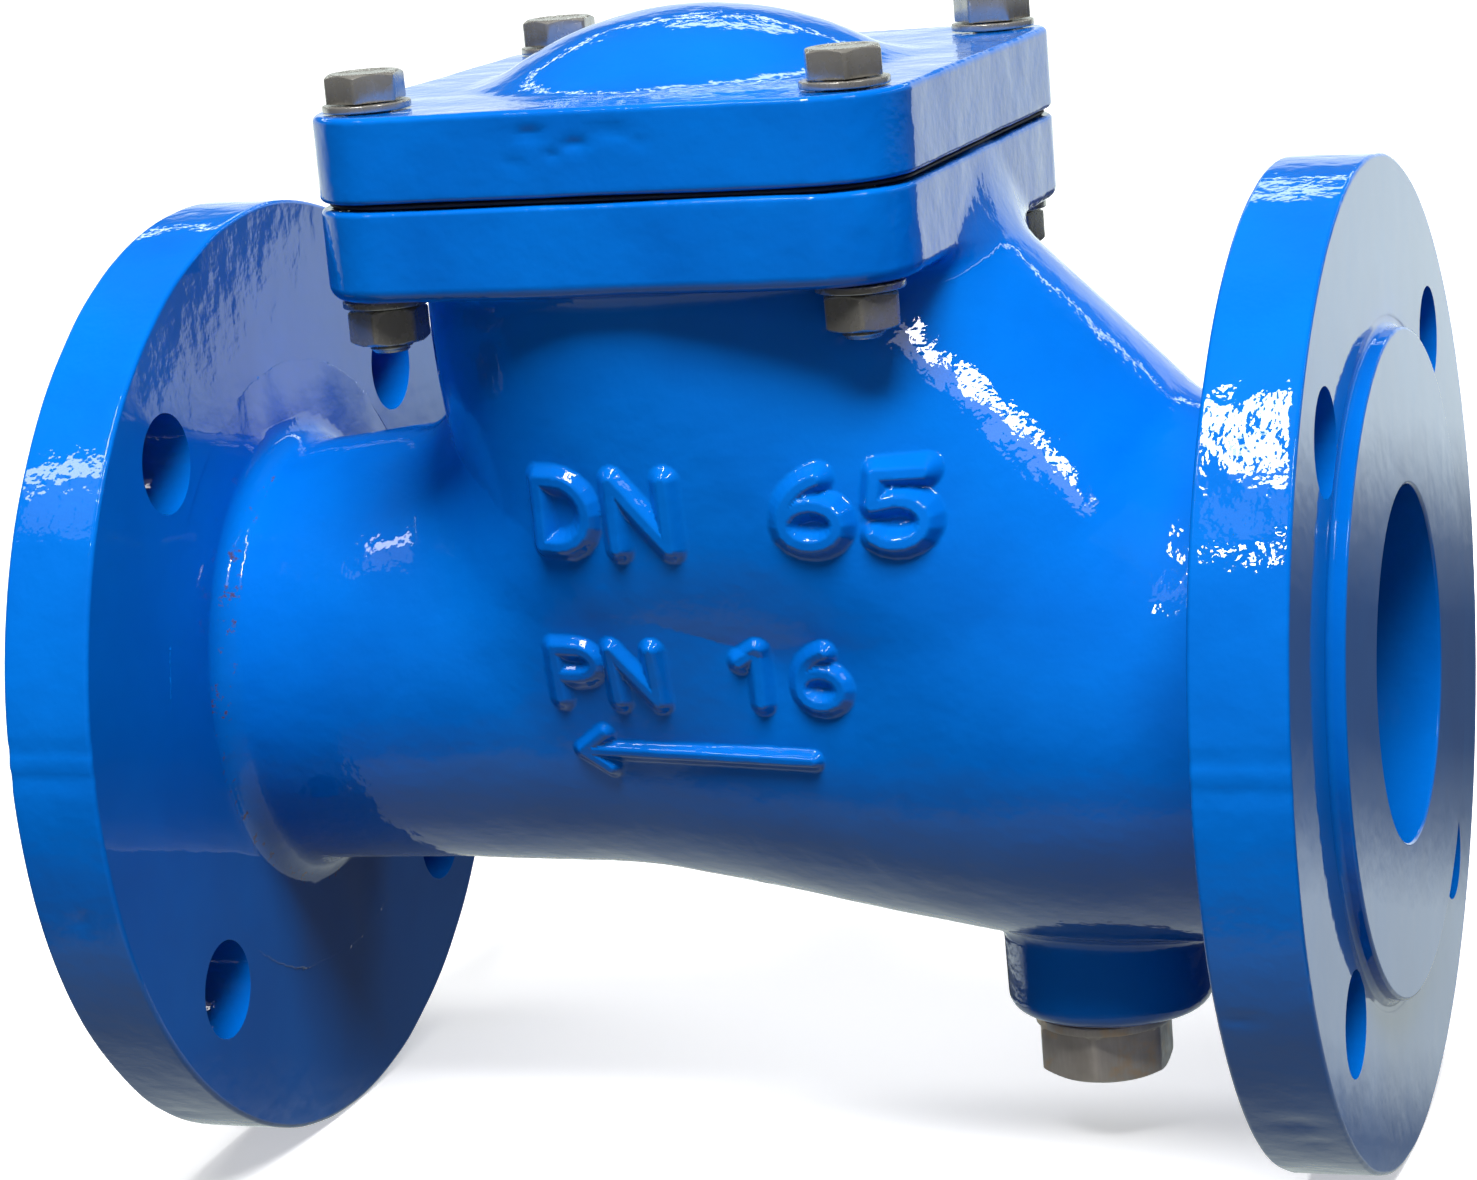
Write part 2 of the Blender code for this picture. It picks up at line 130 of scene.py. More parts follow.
# Cover
COVER_BOTTOM = COVER_LOW.z - AXIS_Z
COVER_TOP = 114.3 * MM
DOME_CENTRE = 59.9 * MM
DOME_OUTER_R = 66.3 * MM
DOME_INNER_R = 58 * MM
DOME_FOOT = COVER_TOP - 6 * MM
DOME_FILLET = 3 * MM
COVER_EDGES = (1.0 * MM, 1.2 * MM)
COVER_HOLLOW_EDGE = 0.8 * MM

# Drain boss
DRAIN_X = (PLUG_LOW.x + PLUG_HIGH.x) / 2
BOSS_R = 18 * MM
BOSS_WEB = 3 * MM  # the boss is this much longer towards the flange
BOSS_BOTTOM = -66.4 * MM
BOSS_TOP = -40 * MM
BOSS_EDGE = 3.5 * MM
DRAIN_HOLE_R = 10.7 * MM
DRAIN_TOP = -55.5 * MM

# Fillets of the body
SHOULDER_FILLET = 10 * MM
SLOPE_FILLET = 4 * MM
NECK_FILLET = 12 * MM
PAD_FILLET = 5 * MM
BOSS_FILLET = 2.5 * MM
DISC_FILLET = 6 * MM

# Height of the casting's unevenness
BODY_UNEVEN = 0.06 * MM
COVER_UNEVEN = 0.05 * MM
RIM_UNEVEN = 0.08 * MM

# Cover fasteners, M8
BOLT_HALF_X = 45 * MM
BOLT_HALF_Y = 47.5 * MM
BOLT_HOLE_R = 4.6 * MM
BOLT_R = 4 * MM
BOLT_CORE_R = 3.35 * MM
BOLT_PITCH = 1.25 * MM
BOLT_HEAD = 5.2 * MM
BOLT_THREAD = 14 * MM
BOLT_CHAMFER = 0.9 * MM
HEX_ACROSS_FLATS = 13 * MM
WASHER_R = 8 * MM
WASHER_BORE_R = 4.2 * MM
NUT_BORE_R = 4.05 * MM
NUT_MOUTH_R = 4.35 * MM
HEAD_TURNS = (8, 21, 40, 3)  # how each bolt's head and each nut stand, in degrees
NUT_TURNS = (2, 17, 50, 33)
FASTENER_SMOOTH = 28  # sharpest edge of a fastener that is smoothed, in degrees

# Drain plug, G 1/2
PLUG_R = 10.4 * MM
PLUG_CORE_R = 9.3 * MM
PLUG_PITCH = 1.814 * MM
PLUG_CHAMFER = 1.2 * MM
PLUG_UNDERCUT_R = 9.2 * MM
PLUG_UNDERCUT = 1.4 * MM
COLLAR_R = 13.3 * MM
COLLAR = 1.7 * MM
COLLAR_EDGE = 0.3 * MM
COLLAR_TOP_Z = AXIS_Z + BOSS_BOTTOM - 1.1 * MM
PLUG_ACROSS_FLATS = 23 * MM
PLUG_DISH_R = 7.6 * MM  # floor of the hollow in the hexagon's end
PLUG_DISH_RIM_R = 8.3 * MM
PLUG_DISH = 0.9 * MM
PLUG_TURN = 3.3  # how the hexagon stands, in degrees

# Scars in the cover's front: place (x, z), size (x, z) and depth, in mm
COVER_SCARS = (
    ((-17.5, 110.2), (3.0, 1.2), 0.5),
    ((-9.5, 108.0), (2.6, 1.3), 0.55),
    ((-13.5, 106.2), (1.6, 1.0), 0.3),
    ((-3.0, 110.0), (4.0, 1.4), 0.35),
    ((2.5, 107.5), (1.8, 1.0), 0.25),
    ((-21.0, 105.0), (2.0, 1.4), 0.2),
)
COVER_FRONT_Y = -50 * MM  # only the cover's front has scars

# Size of the faces that the casting surfaces start from, before they are refined
BODY_STEP = 1.7 * MM
COVER_STEP = 1.4 * MM
SHARP_TURN = 0.16  # faces whose normals differ by more than this, in radians, are refined


def linked(name, data):
    made = bpy.data.objects.new(name, data)
    bpy.context.scene.collection.objects.link(made)
    return made


# ---- distances

def length(*parts):
    return np.sqrt(sum(part * part for part in parts))


def join(a, b, fillet):
    """Both shapes, with a round fillet where they meet."""
    inside_a = np.maximum(fillet - a, 0)
    inside_b = np.maximum(fillet - b, 0)
    return np.maximum(fillet, np.minimum(a, b)) - length(inside_a, inside_b)


def cut(a, b, edge=0.0):
    """The first shape without the second, its new edge rounded."""
    if not edge:
        return np.maximum(a, -b)
    return -join(-a, b, edge)


def soft_ramp(t, soft):
    """Rises from 0 to 1 with t, with its two bends rounded."""
    low = 0.5 * (t + np.sqrt(t * t + soft * soft))
    u = 1 - low
    return 1 - 0.5 * (u + np.sqrt(u * u + soft * soft))


def capsule(x, y, z, start, end, radius):
    """A round-ended rod between two points (x, z) of the middle plane."""
    dx, dz = end[0] - start[0], end[1] - start[1]
    share = ((x - start[0]) * dx + (z - start[1]) * dz) / (dx * dx + dz * dz)
    share = np.clip(share, 0, 1)
    return length(x - start[0] - share * dx, y, z - start[1] - share * dz) - radius


def cone_share(x, cone):
    """How far along a cone x is, from 0 before it to 1 past it."""
    start, long, soft = cone
    return soft_ramp((x - start) / long, soft)


def box_length(a, b):
    """Distance from a square corner, for points that are a and b past its two sides."""
    return length(np.maximum(a, 0), np.maximum(b, 0)) + np.minimum(np.maximum(a, b), 0)


def plate(x, y, z, bottom, top, edges):
    """The pad or the cover's plate: flat, with round corners and rounded lower and upper edges."""
    corner = PLATE_CORNER_R
    qx = np.abs(x - NECK_X) - (PLATE_HALF_X - corner)
    qy = np.abs(y) - (PLATE_HALF_Y - corner)
    around = box_length(qx, qy) - corner
    middle = (bottom + top) / 2
    edge = np.where(z > middle, edges[1], edges[0])
    side = around + edge
    height = np.abs(z - middle) - (top - bottom) / 2 + edge
    return box_length(side, height) - edge


# ---- castings

def bow(centre_u, centre_v, radius_u, radius_v, start_deg, end_deg, pieces=10):
    """Points on part of an ellipse, both ends included."""
    angles = np.radians(np.linspace(start_deg, end_deg, pieces + 1))
    return [(centre_u + radius_u * math.cos(a), centre_v + radius_v * math.sin(a)) for a in angles]


# Strokes of each character, in a cell one unit high
STROKES = {
    "D": [[(0, 0), (0, 1), *bow(0.22, 0.5, 0.4, 0.5, 90, -90), (0, 0)]],
    "N": [[(0, 0), (0, 1), (0.62, 0), (0.62, 1)]],
    "P": [[(0, 0), (0, 1), *bow(0.32, 0.73, 0.3, 0.27, 90, -90), (0, 0.46)]],
    "6": [bow(0.31, 0.3, 0.31, 0.3, 0, 360, 16), bow(0.56, 0.34, 0.56, 0.66, 184, 108)],
    "5": [[(0.58, 1), (0.08, 1), (0.05, 0.57), *bow(0.29, 0.31, 0.32, 0.31, 115, -140, 12)]],
    "1": [[(0.06, 0.8), (0.32, 1), (0.32, 0)]],
    "<": [[(0.55, 0.95), (0, 0.5), (0.55, 0.05)], [(0, 0.5), (5.2, 0.5)]],
}
# text, left, bottom, cell width, height, distance between cells, stroke, relief, in mm
MARKS = (
    ("DN 65", -27.3, 34.4, 16.4, 12.2, 15.7, 5.6, 2.7),
    ("PN 16", -29.2, 4.2, 13.2, 9.8, 12.0, 4.9, 2.4),
    ("<", -27.0, -10.6, 9.0, 8.0, 0.0, 4.0, 1.9),
)
MARKS_LOW = (-33 * MM, -14 * MM)
MARKS_HIGH = (53 * MM, 53 * MM)
MARK_EDGE = 1.2  # where a stroke's slope ends, in half widths


def stroke_lines():
    """Every stroke of the marks as (start, end, half width, relief), in metres."""
    lines = []
    for text, left, bottom, wide, high, advance, stroke, relief in MARKS:
        for place, character in enumerate(text):
            for points in STROKES.get(character, []):
                moved = [
                    ((left + place * advance + u * wide) * MM, (bottom + v * high) * MM)
                    for u, v in points
                ]
                for start, end in zip(moved, moved[1:]):
                    lines.append((start, end, stroke / 2 * MM, relief * MM))
    return lines


STROKE_LINES = stroke_lines()


def in_marks_area(x, z):
    in_x = (x > MARKS_LOW[0]) & (x < MARKS_HIGH[0])
    return in_x & (z > MARKS_LOW[1]) & (z < MARKS_HIGH[1])


def marks_height(x, z):
    """How far the raised casting marks stand out of the body's front."""
    x, z = np.broadcast_arrays(x, z)
    inside = in_marks_area(x, z)
    px, pz = x[inside], z[inside]
    best = np.zeros(px.shape)
    for start, end, half, relief in STROKE_LINES:
        dx, dz = end[0] - start[0], end[1] - start[1]
        share = np.clip(((px - start[0]) * dx + (pz - start[1]) * dz) / (dx * dx + dz * dz), 0, 1)
        away = length(px - start[0] - share * dx, pz - start[1] - share * dz) / half
        t = np.clip(MARK_EDGE - away, 0, 1)
        best = np.maximum(best, relief * t * t * (3 - 2 * t))
    height = np.zeros(x.shape)
    height[inside] = best
    return height


RIPPLE_SIZES = (11, 13, 16, 19, 24, 30, 38, 47)  # wavelengths in mm
RIPPLES = []
ripple_draw = np.random.default_rng(5)
for ripple_size in RIPPLE_SIZES:
    direction = ripple_draw.normal(size=3)
    direction /= np.linalg.norm(direction)
    wave = direction * 2 * math.pi / (ripple_size * MM)
    RIPPLES.append((wave, ripple_draw.uniform(0, 6.28), ripple_size))


def ripples(x, y, z):
    """The unevenness of a sand casting, about one unit high on each side."""
    total = 0.0
    for (kx, ky, kz), phase, size in RIPPLES:
        total = total + size / RIPPLE_SIZES[-1] * np.sin(kx * x + ky * y + kz * z + phase)
    return total


def body_distance(x, y, z):
    """The cast body between its two flange discs, with z measured from the pipe axis."""
    r = length(y, z)
    spread = cone_share(x, OUTER_CONE)
    taper = np.clip((x - TAPER_START_X) / TAPER_LENGTH, 0, 1)
    outer = PIPE_R + (CHAMBER_OUTER_R - CHAMBER_DROP - PIPE_R) * spread
    outer = outer - TAPER * taper * taper
    tube = length(y, z + CHAMBER_DROP * spread) - outer
    shoulder = capsule(x, y, z, SHOULDER_START, SHOULDER_END, PIPE_R)
    neck = capsule(x, y, z, (NECK_X, NECK_ROUND), (NECK_X, BEYOND), NECK_OUTER_R)
    slope = capsule(x, y, z, (SEAT_X, 0), (NECK_X, OPEN_Z), POCKET_OUTER_R)
    pad = plate(x, y, z, PAD_BOTTOM, PAD_TOP, PAD_EDGES)
    past = x - DRAIN_X
    boss = np.maximum(length(past - np.clip(past, 0, BOSS_WEB), y) - BOSS_R, z - BOSS_TOP)
    boss = cut(boss, z - BOSS_BOTTOM, BOSS_EDGE)
    disc = np.maximum(r - CORE_DISC_R, CORE_DISC_X - np.abs(x))

    metal = join(tube, shoulder, SHOULDER_FILLET)
    metal = join(metal, slope, SLOPE_FILLET)
    metal = join(metal, np.maximum(neck, z - PAD_TOP + 2 * MM), NECK_FILLET)
    metal = np.maximum(metal, z - PAD_TOP + MM)
    metal = join(metal, pad, PAD_FILLET)
    metal = join(metal, boss, BOSS_FILLET)
    metal = join(metal, disc, DISC_FILLET)
    metal = metal - marks_height(x, z) * (y < 0)
    metal = metal - BODY_UNEVEN * ripples(x, y, z)

    hollow = r - (CORE_BORE_R + (CHAMBER_R - BORE_R) * cone_share(x, BORE_CONE))
    hollow = cut(hollow, CHAMBER_END_X - x, CHAMBER_END_EDGE)
    lean = math.asin(SEAT_R / BALL_R)
    cone = (x - SEAT_X) * math.cos(lean) + r * math.sin(lean) - (BALL_R + GAP)
    rooms = (
        np.maximum(np.maximum(cone, SEAT_START_X - x), r - CHAMBER_R),
        np.maximum(r - SEAT_LIP_R, LIP_START_X - x),
        np.maximum(r - CORE_BORE_R, INLET_START_X - x),
        capsule(x, y, z, (SEAT_X, 0), (NECK_X, OPEN_Z), POCKET_R),
        capsule(x, y, z, (NECK_X, OPEN_Z), (NECK_X, BEYOND), NECK_R),
        np.maximum(length(x - DRAIN_X, y) - DRAIN_HOLE_R, z - DRAIN_TOP),
        bolt_holes(x, y, z),
    )
    for room in rooms:
        hollow = np.minimum(hollow, room)
    return np.maximum(cut(metal, hollow, CORE_EDGE), np.abs(x) - CORE_END_X)


def bolt_holes(x, y, z):
    """The four bolt holes of the pad and the cover."""
    away = length(np.abs(x - NECK_X) - BOLT_HALF_X, np.abs(y) - BOLT_HALF_Y)
    return np.maximum(away - BOLT_HOLE_R, PAD_BOTTOM - 5 * MM - z)


def dent(x, z, place, size, depth):
    """A hollow in a front face, given in mm as its place (x, z), its size and its depth."""
    away = ((x / MM - place[0]) / size[0]) ** 2 + ((z / MM - place[1]) / size[1]) ** 2
    return depth * MM * np.exp(-away)


def cover_distance(x, y, z):
    """The cover: a plate with a hollow dome over the lifted ball."""
    flat = plate(x, y, z, COVER_BOTTOM, COVER_TOP, COVER_EDGES)
    from_centre = length(x - NECK_X, y, z - DOME_CENTRE)
    dome = np.maximum(from_centre - DOME_OUTER_R, DOME_FOOT - z)
    metal = join(flat, dome, DOME_FILLET) - COVER_UNEVEN * ripples(x, y, z)
    for place, size, depth in COVER_SCARS:
        metal = metal + dent(x, z, place, size, depth) * (y < COVER_FRONT_Y)
    return cut(cut(metal, from_centre - DOME_INNER_R, COVER_HOLLOW_EDGE), bolt_holes(x, y, z))


def gradient(distance, points):
    """The direction in which the distance grows, at each point."""
    small = 0.02 * MM
    parts = []
    for axis in range(3):
        shift = np.zeros(3)
        shift[axis] = small
        ahead = distance(*(points + shift).T)
        behind = distance(*(points - shift).T)
        parts.append((ahead - behind) / (2 * small))
    return np.stack(parts, axis=1)


def settle(distance, points, rounds=4):
    """Moves points that are near the surface onto it, and gives the surface's normals there."""
    for _ in range(rounds):
        slope = gradient(distance, points)
        steepness = np.maximum(np.sum(slope * slope, axis=1), 0.25)
        points = points - slope * (distance(*points.T) / steepness)[:, None]
    slope = gradient(distance, points)
    normals = slope / np.maximum(np.linalg.norm(slope, axis=1), 1e-9)[:, None]
    return points, normals


def cast_surface(distance, low, high, step):
    """Points and four-sided faces of the surface inside a box."""
    axes = [np.arange(a, b + step, step) for a, b in zip(low, high, strict=True)]
    x, y, z = np.meshgrid(*axes, indexing="ij", sparse=True)
    values = np.broadcast_to(distance(x, y, z), [len(axis) for axis in axes])
    grid = openvdb.FloatGrid(background=1.0)
    grid.copyFromArray(np.ascontiguousarray(values, dtype=np.float32) / step)
    points, faces = grid.convertToQuads(isovalue=0.0)
    return np.array(points, float) * step + np.array(low), np.array(faces, int)


def refined(points, faces, chosen):
    """Splits the chosen faces in four. Returns the new points and faces, of any number of sides."""
    shape = bmesh.new()
    corners = [shape.verts.new(point) for point in points]
    edges = set()
    for face, wanted in zip(faces, chosen, strict=True):
        made = shape.faces.new([corners[i] for i in face])
        if wanted:
            edges.update(made.edges)
    shape.edges.index_update()
    ordered = sorted(edges, key=lambda edge: edge.index)
    bmesh.ops.subdivide_edges(shape, edges=ordered, cuts=1, use_grid_fill=True)
    shape.verts.index_update()
    new_points = np.array([corner.co for corner in shape.verts])
    new_faces = [[corner.index for corner in face.verts] for face in shape.faces]
    shape.free()
    return new_points, new_faces


def sharpness(faces, normals):
    """How far each face's corner normals are apart, in radians."""
    apart = np.zeros(len(faces))
    for i, face in enumerate(faces):
        own = normals[face]
        apart[i] = np.max(np.linalg.norm(own - own.mean(axis=0), axis=1))
    return apart


def cast_object(name, distance, low, high, step, want=None, rounds=2):
    """A casting's mesh. Its faces are split where it turns sharply and where want() says so."""
    points, faces = cast_surface(distance, low, high, step)
    points, normals = settle(distance, points)
    corner = points[faces]
    facing = np.cross(corner[:, 2] - corner[:, 0], corner[:, 3] - corner[:, 1])
    if np.sum(facing * normals[faces].mean(axis=1)) < 0:
        faces = faces[:, ::-1]
    faces = faces.tolist()
    for turn in range(rounds):
        chosen = sharpness(faces, normals) > SHARP_TURN
        if want is not None:
            chosen |= want(np.array([points[face].mean(axis=0) for face in faces]), turn)
        points, faces = refined(points, faces, chosen)
        points, normals = settle(distance, points, 3)
    mesh = bpy.data.meshes.new(name)
    mesh.from_pydata(points + np.array((0, 0, AXIS_Z)), [], faces)
    mesh.polygons.foreach_set("use_smooth", np.ones(len(mesh.polygons), bool))
    mesh.normals_split_custom_set_from_vertices(normals)
    return linked(name, mesh)


# ---- turned pieces

def arc(centre, radius, start_deg, end_deg, pieces):
    """Points on an arc in a profile, both ends included."""
    return bow(*centre, radius, radius, start_deg, end_deg, pieces)


def spun(name, rows, steps, closed=False, smooth_deg=35):
    """A shape from rows about Z. Radius and height are numbers, or arrays with a value a step."""
    angles = np.linspace(0, 2 * math.pi, steps, endpoint=False)
    shape = bmesh.new()
    rings = []
    for radius, height in rows:
        radius, height = np.broadcast_to(radius, steps), np.broadcast_to(height, steps)
        if radius.max() < 1e-9:
            rings.append([shape.verts.new((0, 0, height[0]))] * steps)
            continue
        sides = zip(radius * np.cos(angles), radius * np.sin(angles), height, strict=True)
        rings.append([shape.verts.new(point) for point in sides])
    for i in range(len(rows) if closed else len(rows) - 1):
        upper, lower = rings[i], rings[(i + 1) % len(rows)]
        for k in range(steps):
            after = (k + 1) % steps
            unique = list(dict.fromkeys([upper[k], lower[k], lower[after], upper[after]]))
            if len(unique) > 2:
                shape.faces.new(unique)
    bmesh.ops.recalc_face_normals(shape, faces=shape.faces)
    return to_object(name, shape, smooth_deg)


def smoothed(shape, smooth_deg):
    """Makes a bmesh smooth except at edges sharper than the angle."""
    limit = math.radians(smooth_deg)
    for face in shape.faces:
        face.smooth = True
    for edge in shape.edges:
        edge.smooth = len(edge.link_faces) == 2 and edge.calc_face_angle(0) < limit


def to_object(name, shape, smooth_deg=35):
    """A linked object from a bmesh, smooth except at edges sharper than the angle."""
    smoothed(shape, smooth_deg)
    mesh = bpy.data.meshes.new(name)
    shape.to_mesh(mesh)
    shape.free()
    return linked(name, mesh)


def modified(item, kind, settings):
    """Applies a modifier to the object's mesh."""
    modifier = item.modifiers.new(kind, kind)
    for key, value in settings.items():
        setattr(modifier, key, value)
    graph = bpy.context.evaluated_depsgraph_get()
    mesh = bpy.data.meshes.new_from_object(item.evaluated_get(graph))
    mesh.name = item.name
    item.modifiers.clear()
    item.data = mesh
    return item


def drilled(item, place, radius, bottom, top, steps):
    """Cuts a round hole through the object, along Z."""
    ends = [(0, top), (radius, top), (radius, bottom), (0, bottom)]
    drill = spun("drill", ends, steps)
    drill.location = (place[0], place[1], 0)
    settings = {"operation": "DIFFERENCE", "solver": "EXACT", "object": drill}
    modified(item, "BOOLEAN", settings)
    bpy.data.objects.remove(drill, do_unlink=True)


def weighted(item, smooth_deg):
    """Sharp edges above the angle, and flat faces that stay flat next to rounded edges."""
    shape = bmesh.new()
    shape.from_mesh(item.data)
    smoothed(shape, smooth_deg)
    shape.to_mesh(item.data)
    shape.free()
    return modified(item, "WEIGHTED_NORMAL", {"keep_sharp": True, "weight": 80})


# Dents in the flange rims: x in mm, angle in degrees, length, width and depth in mm
RIM_DENTS = (
    (104.5, 205.5, 3.5, 0.6, 0.5),
    (109.0, 224.0, 4.5, 2.2, 0.5),
    (111.0, 229.0, 3.0, 1.2, 0.35),
    (-108.0, 196.0, 1.5, 1.5, 0.3),
    (-112.0, 236.0, 3.0, 2.0, 0.3),
)
SEAM_TURN = 0.05  # the mould seam lies this far round from the middle height, in radians


def turn_apart(angle, other):
    """The turn between two angles, from -pi to pi."""
    return np.angle(np.exp(1j * (angle - other)))


def rim_marks(points):
    """How far the rim of a flange stands out: its mould seam, dents and unevenness."""
    x, y, z = points.T
    angle = np.arctan2(z, y)
    height = RIM_UNEVEN * ripples(x, y, z)
    for seam in (0.0, math.pi):
        away = np.abs(turn_apart(angle, seam - SEAM_TURN)) * FLANGE_R
        wander = 1 + 0.4 * np.sin(x * 900)
        height += 0.15 * MM * wander * np.exp(-((away / (0.9 * MM)) ** 2))
        height -= 0.35 * MM * np.exp(-(((away - 2.4 * MM) / (1.3 * MM)) ** 2))
    for dent_x, dent_deg, long, wide, depth in RIM_DENTS:
        away = turn_apart(angle, math.radians(dent_deg)) * FLANGE_R
        bowl = ((x / MM - dent_x) / long) ** 2 + (away / (wide * MM)) ** 2
        height -= depth * MM * np.exp(-bowl)
    return height


def flange(name, side):
    """A flange disc, its raised face and bolt holes. side is 1 at the inlet, -1 at the outlet."""
    disc = END_X - RAISED_FACE
    floor = disc - FACE_GROOVE
    back_round = 0.9 * MM
    face_round = 0.8 * MM
    fine = 0.6 * MM
    inner = FLANGE_BACK_X + MM
    rim = np.linspace(disc - face_round, FLANGE_BACK_X + back_round, 14)[1:-1]
    profile = [
        (BORE_R, inner),
        (BORE_R, END_X - 3 * MM),
        *arc((BORE_R + fine, END_X - fine), fine, 180, 90, 4),
        *arc((RAISED_FACE_R - fine, END_X - fine), fine, 90, 0, 4),
        *arc((RAISED_FACE_R + FACE_COVE, floor + FACE_COVE), FACE_COVE, 180, 270, 6),
        (RAISED_FACE_R + 2.2 * MM, floor),
        (RAISED_FACE_R + 2.8 * MM, disc),
        *arc((FLANGE_R - face_round, disc - face_round), face_round, 90, 0, 5),
        *((FLANGE_R, x) for x in rim),
        *arc((FLANGE_R - back_round, FLANGE_BACK_X + back_round), back_round, 0, -90, 6),
        (FLANGE_CORE_R, FLANGE_BACK_X),
        (FLANGE_CORE_R, inner),
    ]
    made = spun(name, profile, 384, closed=True)
    for i in range(HOLES):
        angle = 2 * math.pi * (i + 0.5) / HOLES
        place = (HOLE_CIRCLE_R * math.cos(angle), HOLE_CIRCLE_R * math.sin(angle))
        drilled(made, place, HOLE_R, FLANGE_BACK_X - MM, END_X + MM, 64)
    edges = {"limit_method": "ANGLE", "angle_limit": math.radians(60)}
    modified(made, "BEVEL", {"width": 1.0 * MM, "segments": 4, **edges})
    made.data.transform(Matrix.Rotation(math.radians(90 * side), 4, "Y"))
    move_rim(made)
    made.data.transform(Matrix.Translation((0, 0, AXIS_Z)))
    return weighted(made, 35)


def move_rim(item):
    """Gives a flange's rim its unevenness."""
    points = np.empty(len(item.data.vertices) * 3)
    item.data.vertices.foreach_get("co", points)
    points = points.reshape(-1, 3)
    radius = length(points[:, 1], points[:, 2])
    share = np.clip((radius - FLANGE_R + 1.5 * MM) / MM, 0, 1)
    grown = 1 + share * np.minimum(rim_marks(points) - RIM_UNEVEN, 0) / radius
    points[:, 1] *= grown
    points[:, 2] *= grown
    item.data.vertices.foreach_set("co", points.ravel())


# ---- fasteners

def hex_radii(across_flats, steps, turn_deg):
    """Distance from the axis to a hexagon's side, at each step, its corners slightly rounded."""
    angles = np.linspace(0, 2 * math.pi, steps, endpoint=False) - math.radians(turn_deg)
    half = across_flats / 2
    side = (angles + math.pi / 6) % (math.pi / 3) - math.pi / 6
    flat = half / np.cos(side)
    corner = half / math.cos(math.pi / 6) * 0.985
    sharp = 0.1 * MM
    return 0.5 * (flat + corner - np.sqrt((flat - corner) ** 2 + sharp**2))


def hex_rows(across_flats, bottom, top, chamfer_bottom, steps, turn_deg):
    """Rows up a hexagon's side. The corners are chamfered at the top and, if asked, the bottom."""
    radii = hex_radii(across_flats, steps, turn_deg)
    flat_r = across_flats / 2 * 0.955
    slope = math.tan(math.radians(27))
    edge = 0.16 * MM
    drop = (radii - flat_r) * slope
    upper = [
        (radii, top - drop - 2 * edge),
        (radii - 0.3 * edge, top - drop - 0.6 * edge),
        (radii - 1.3 * edge, top - drop + 0.45 * edge),
        (flat_r + edge, top - edge * slope),
        (flat_r, top - 0.15 * edge),
        (flat_r - edge, top),
    ]
    if chamfer_bottom:
        lower = [(radius, top + bottom - height) for radius, height in reversed(upper)]
    else:
        round_off = ((1, 0), (0.3, 0.3), (0, 1))
        lower = [(radii - inset * edge, bottom + rise * edge) for inset, rise in round_off]
    return lower + upper


def thread_rows(core_r, outer_r, pitch, bottom, top, steps, chamfer):
    """Rows up a screw thread, chamfered at its lower end."""
    turn = np.arange(steps) / steps
    rows = []
    for height in np.arange(bottom, top, pitch / 8):
        along = (height / pitch - turn) % 1
        crest = np.clip(2.3 * (1 - np.abs(2 * along - 1)) - 0.55, 0, 1)
        runout = np.clip((top - height) / (2 * pitch), 0, 1)
        radius = outer_r - (outer_r - core_r) * (1 - crest) * runout
        limit = outer_r - chamfer + (height - bottom)
        rows.append((np.minimum(radius, limit), height))
    return rows


def build_bolts():
    """The cover's four bolts, with a washer under each head and nut."""
    steps = 144
    for i in range(1, 5):
        bolt_low, bolt_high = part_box(f"cover_bolt_{i}")
        nut_low, nut_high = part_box(f"cover_nut_{i}")
        x, y = (nut_low.x + nut_high.x) / 2, (nut_low.y + nut_high.y) / 2
        top, tip = bolt_high.z, bolt_low.z
        head = top - BOLT_HEAD
        thread_top = tip + BOLT_THREAD
        rows = [
            (0, tip),
            *thread_rows(BOLT_CORE_R, BOLT_R, BOLT_PITCH, tip, thread_top, steps, BOLT_CHAMFER),
            (BOLT_R, thread_top),
            (BOLT_R, head),
            *hex_rows(HEX_ACROSS_FLATS, head, top, False, steps, HEAD_TURNS[i - 1]),
            (4.6 * MM, top),
            (4.3 * MM, top - 0.12 * MM),
            (0, top - 0.15 * MM),
        ]
        bolt = spun(f"hex_bolt_{i}", rows, steps, smooth_deg=FASTENER_SMOOTH)
        fit(bolt, (x, y), STAINLESS, f"cover_bolt_{i}", "housing")
        rows = [
            *hex_rows(HEX_ACROSS_FLATS, nut_low.z, nut_high.z, True, steps, NUT_TURNS[i - 1]),
            (NUT_MOUTH_R, nut_high.z),
            (NUT_BORE_R, nut_high.z - 0.3 * MM),
            (NUT_BORE_R, nut_low.z + 0.3 * MM),
            (NUT_MOUTH_R, nut_low.z),
        ]
        nut = spun(f"hex_nut_{i}", rows, steps, closed=True, smooth_deg=FASTENER_SMOOTH)
        fit(nut, (x, y), STAINLESS, f"cover_nut_{i}", "housing")
        for kind in ("bolt_washer", "nut_washer"):
            low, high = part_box(f"{kind}_{i}")
            washer = flat_ring(f"plain_{kind}_{i}", WASHER_BORE_R, WASHER_R, low.z, high.z)
            fit(washer, (x, y), STAINLESS, f"{kind}_{i}", "housing")


def flat_ring(name, inner_r, outer_r, bottom, top, edge=0.25 * MM):
    """A washer with rounded edges."""
    rows = [
        *arc((outer_r - edge, bottom + edge), edge, -90, 0, 3),
        *arc((outer_r - edge, top - edge), edge, 0, 90, 3),
        *arc((inner_r + edge, top - edge), edge, 90, 180, 3),
        *arc((inner_r + edge, bottom + edge), edge, 180, 270, 3),
    ]
    return spun(name, rows, 96, closed=True)


def fit(item, place, material, node, body):
    """Puts a finished piece in place of its CAD node."""
    item.data.transform(Matrix.Translation((place[0], place[1], 0)))
    assign(item, material)
    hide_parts(node)
    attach(item, body)


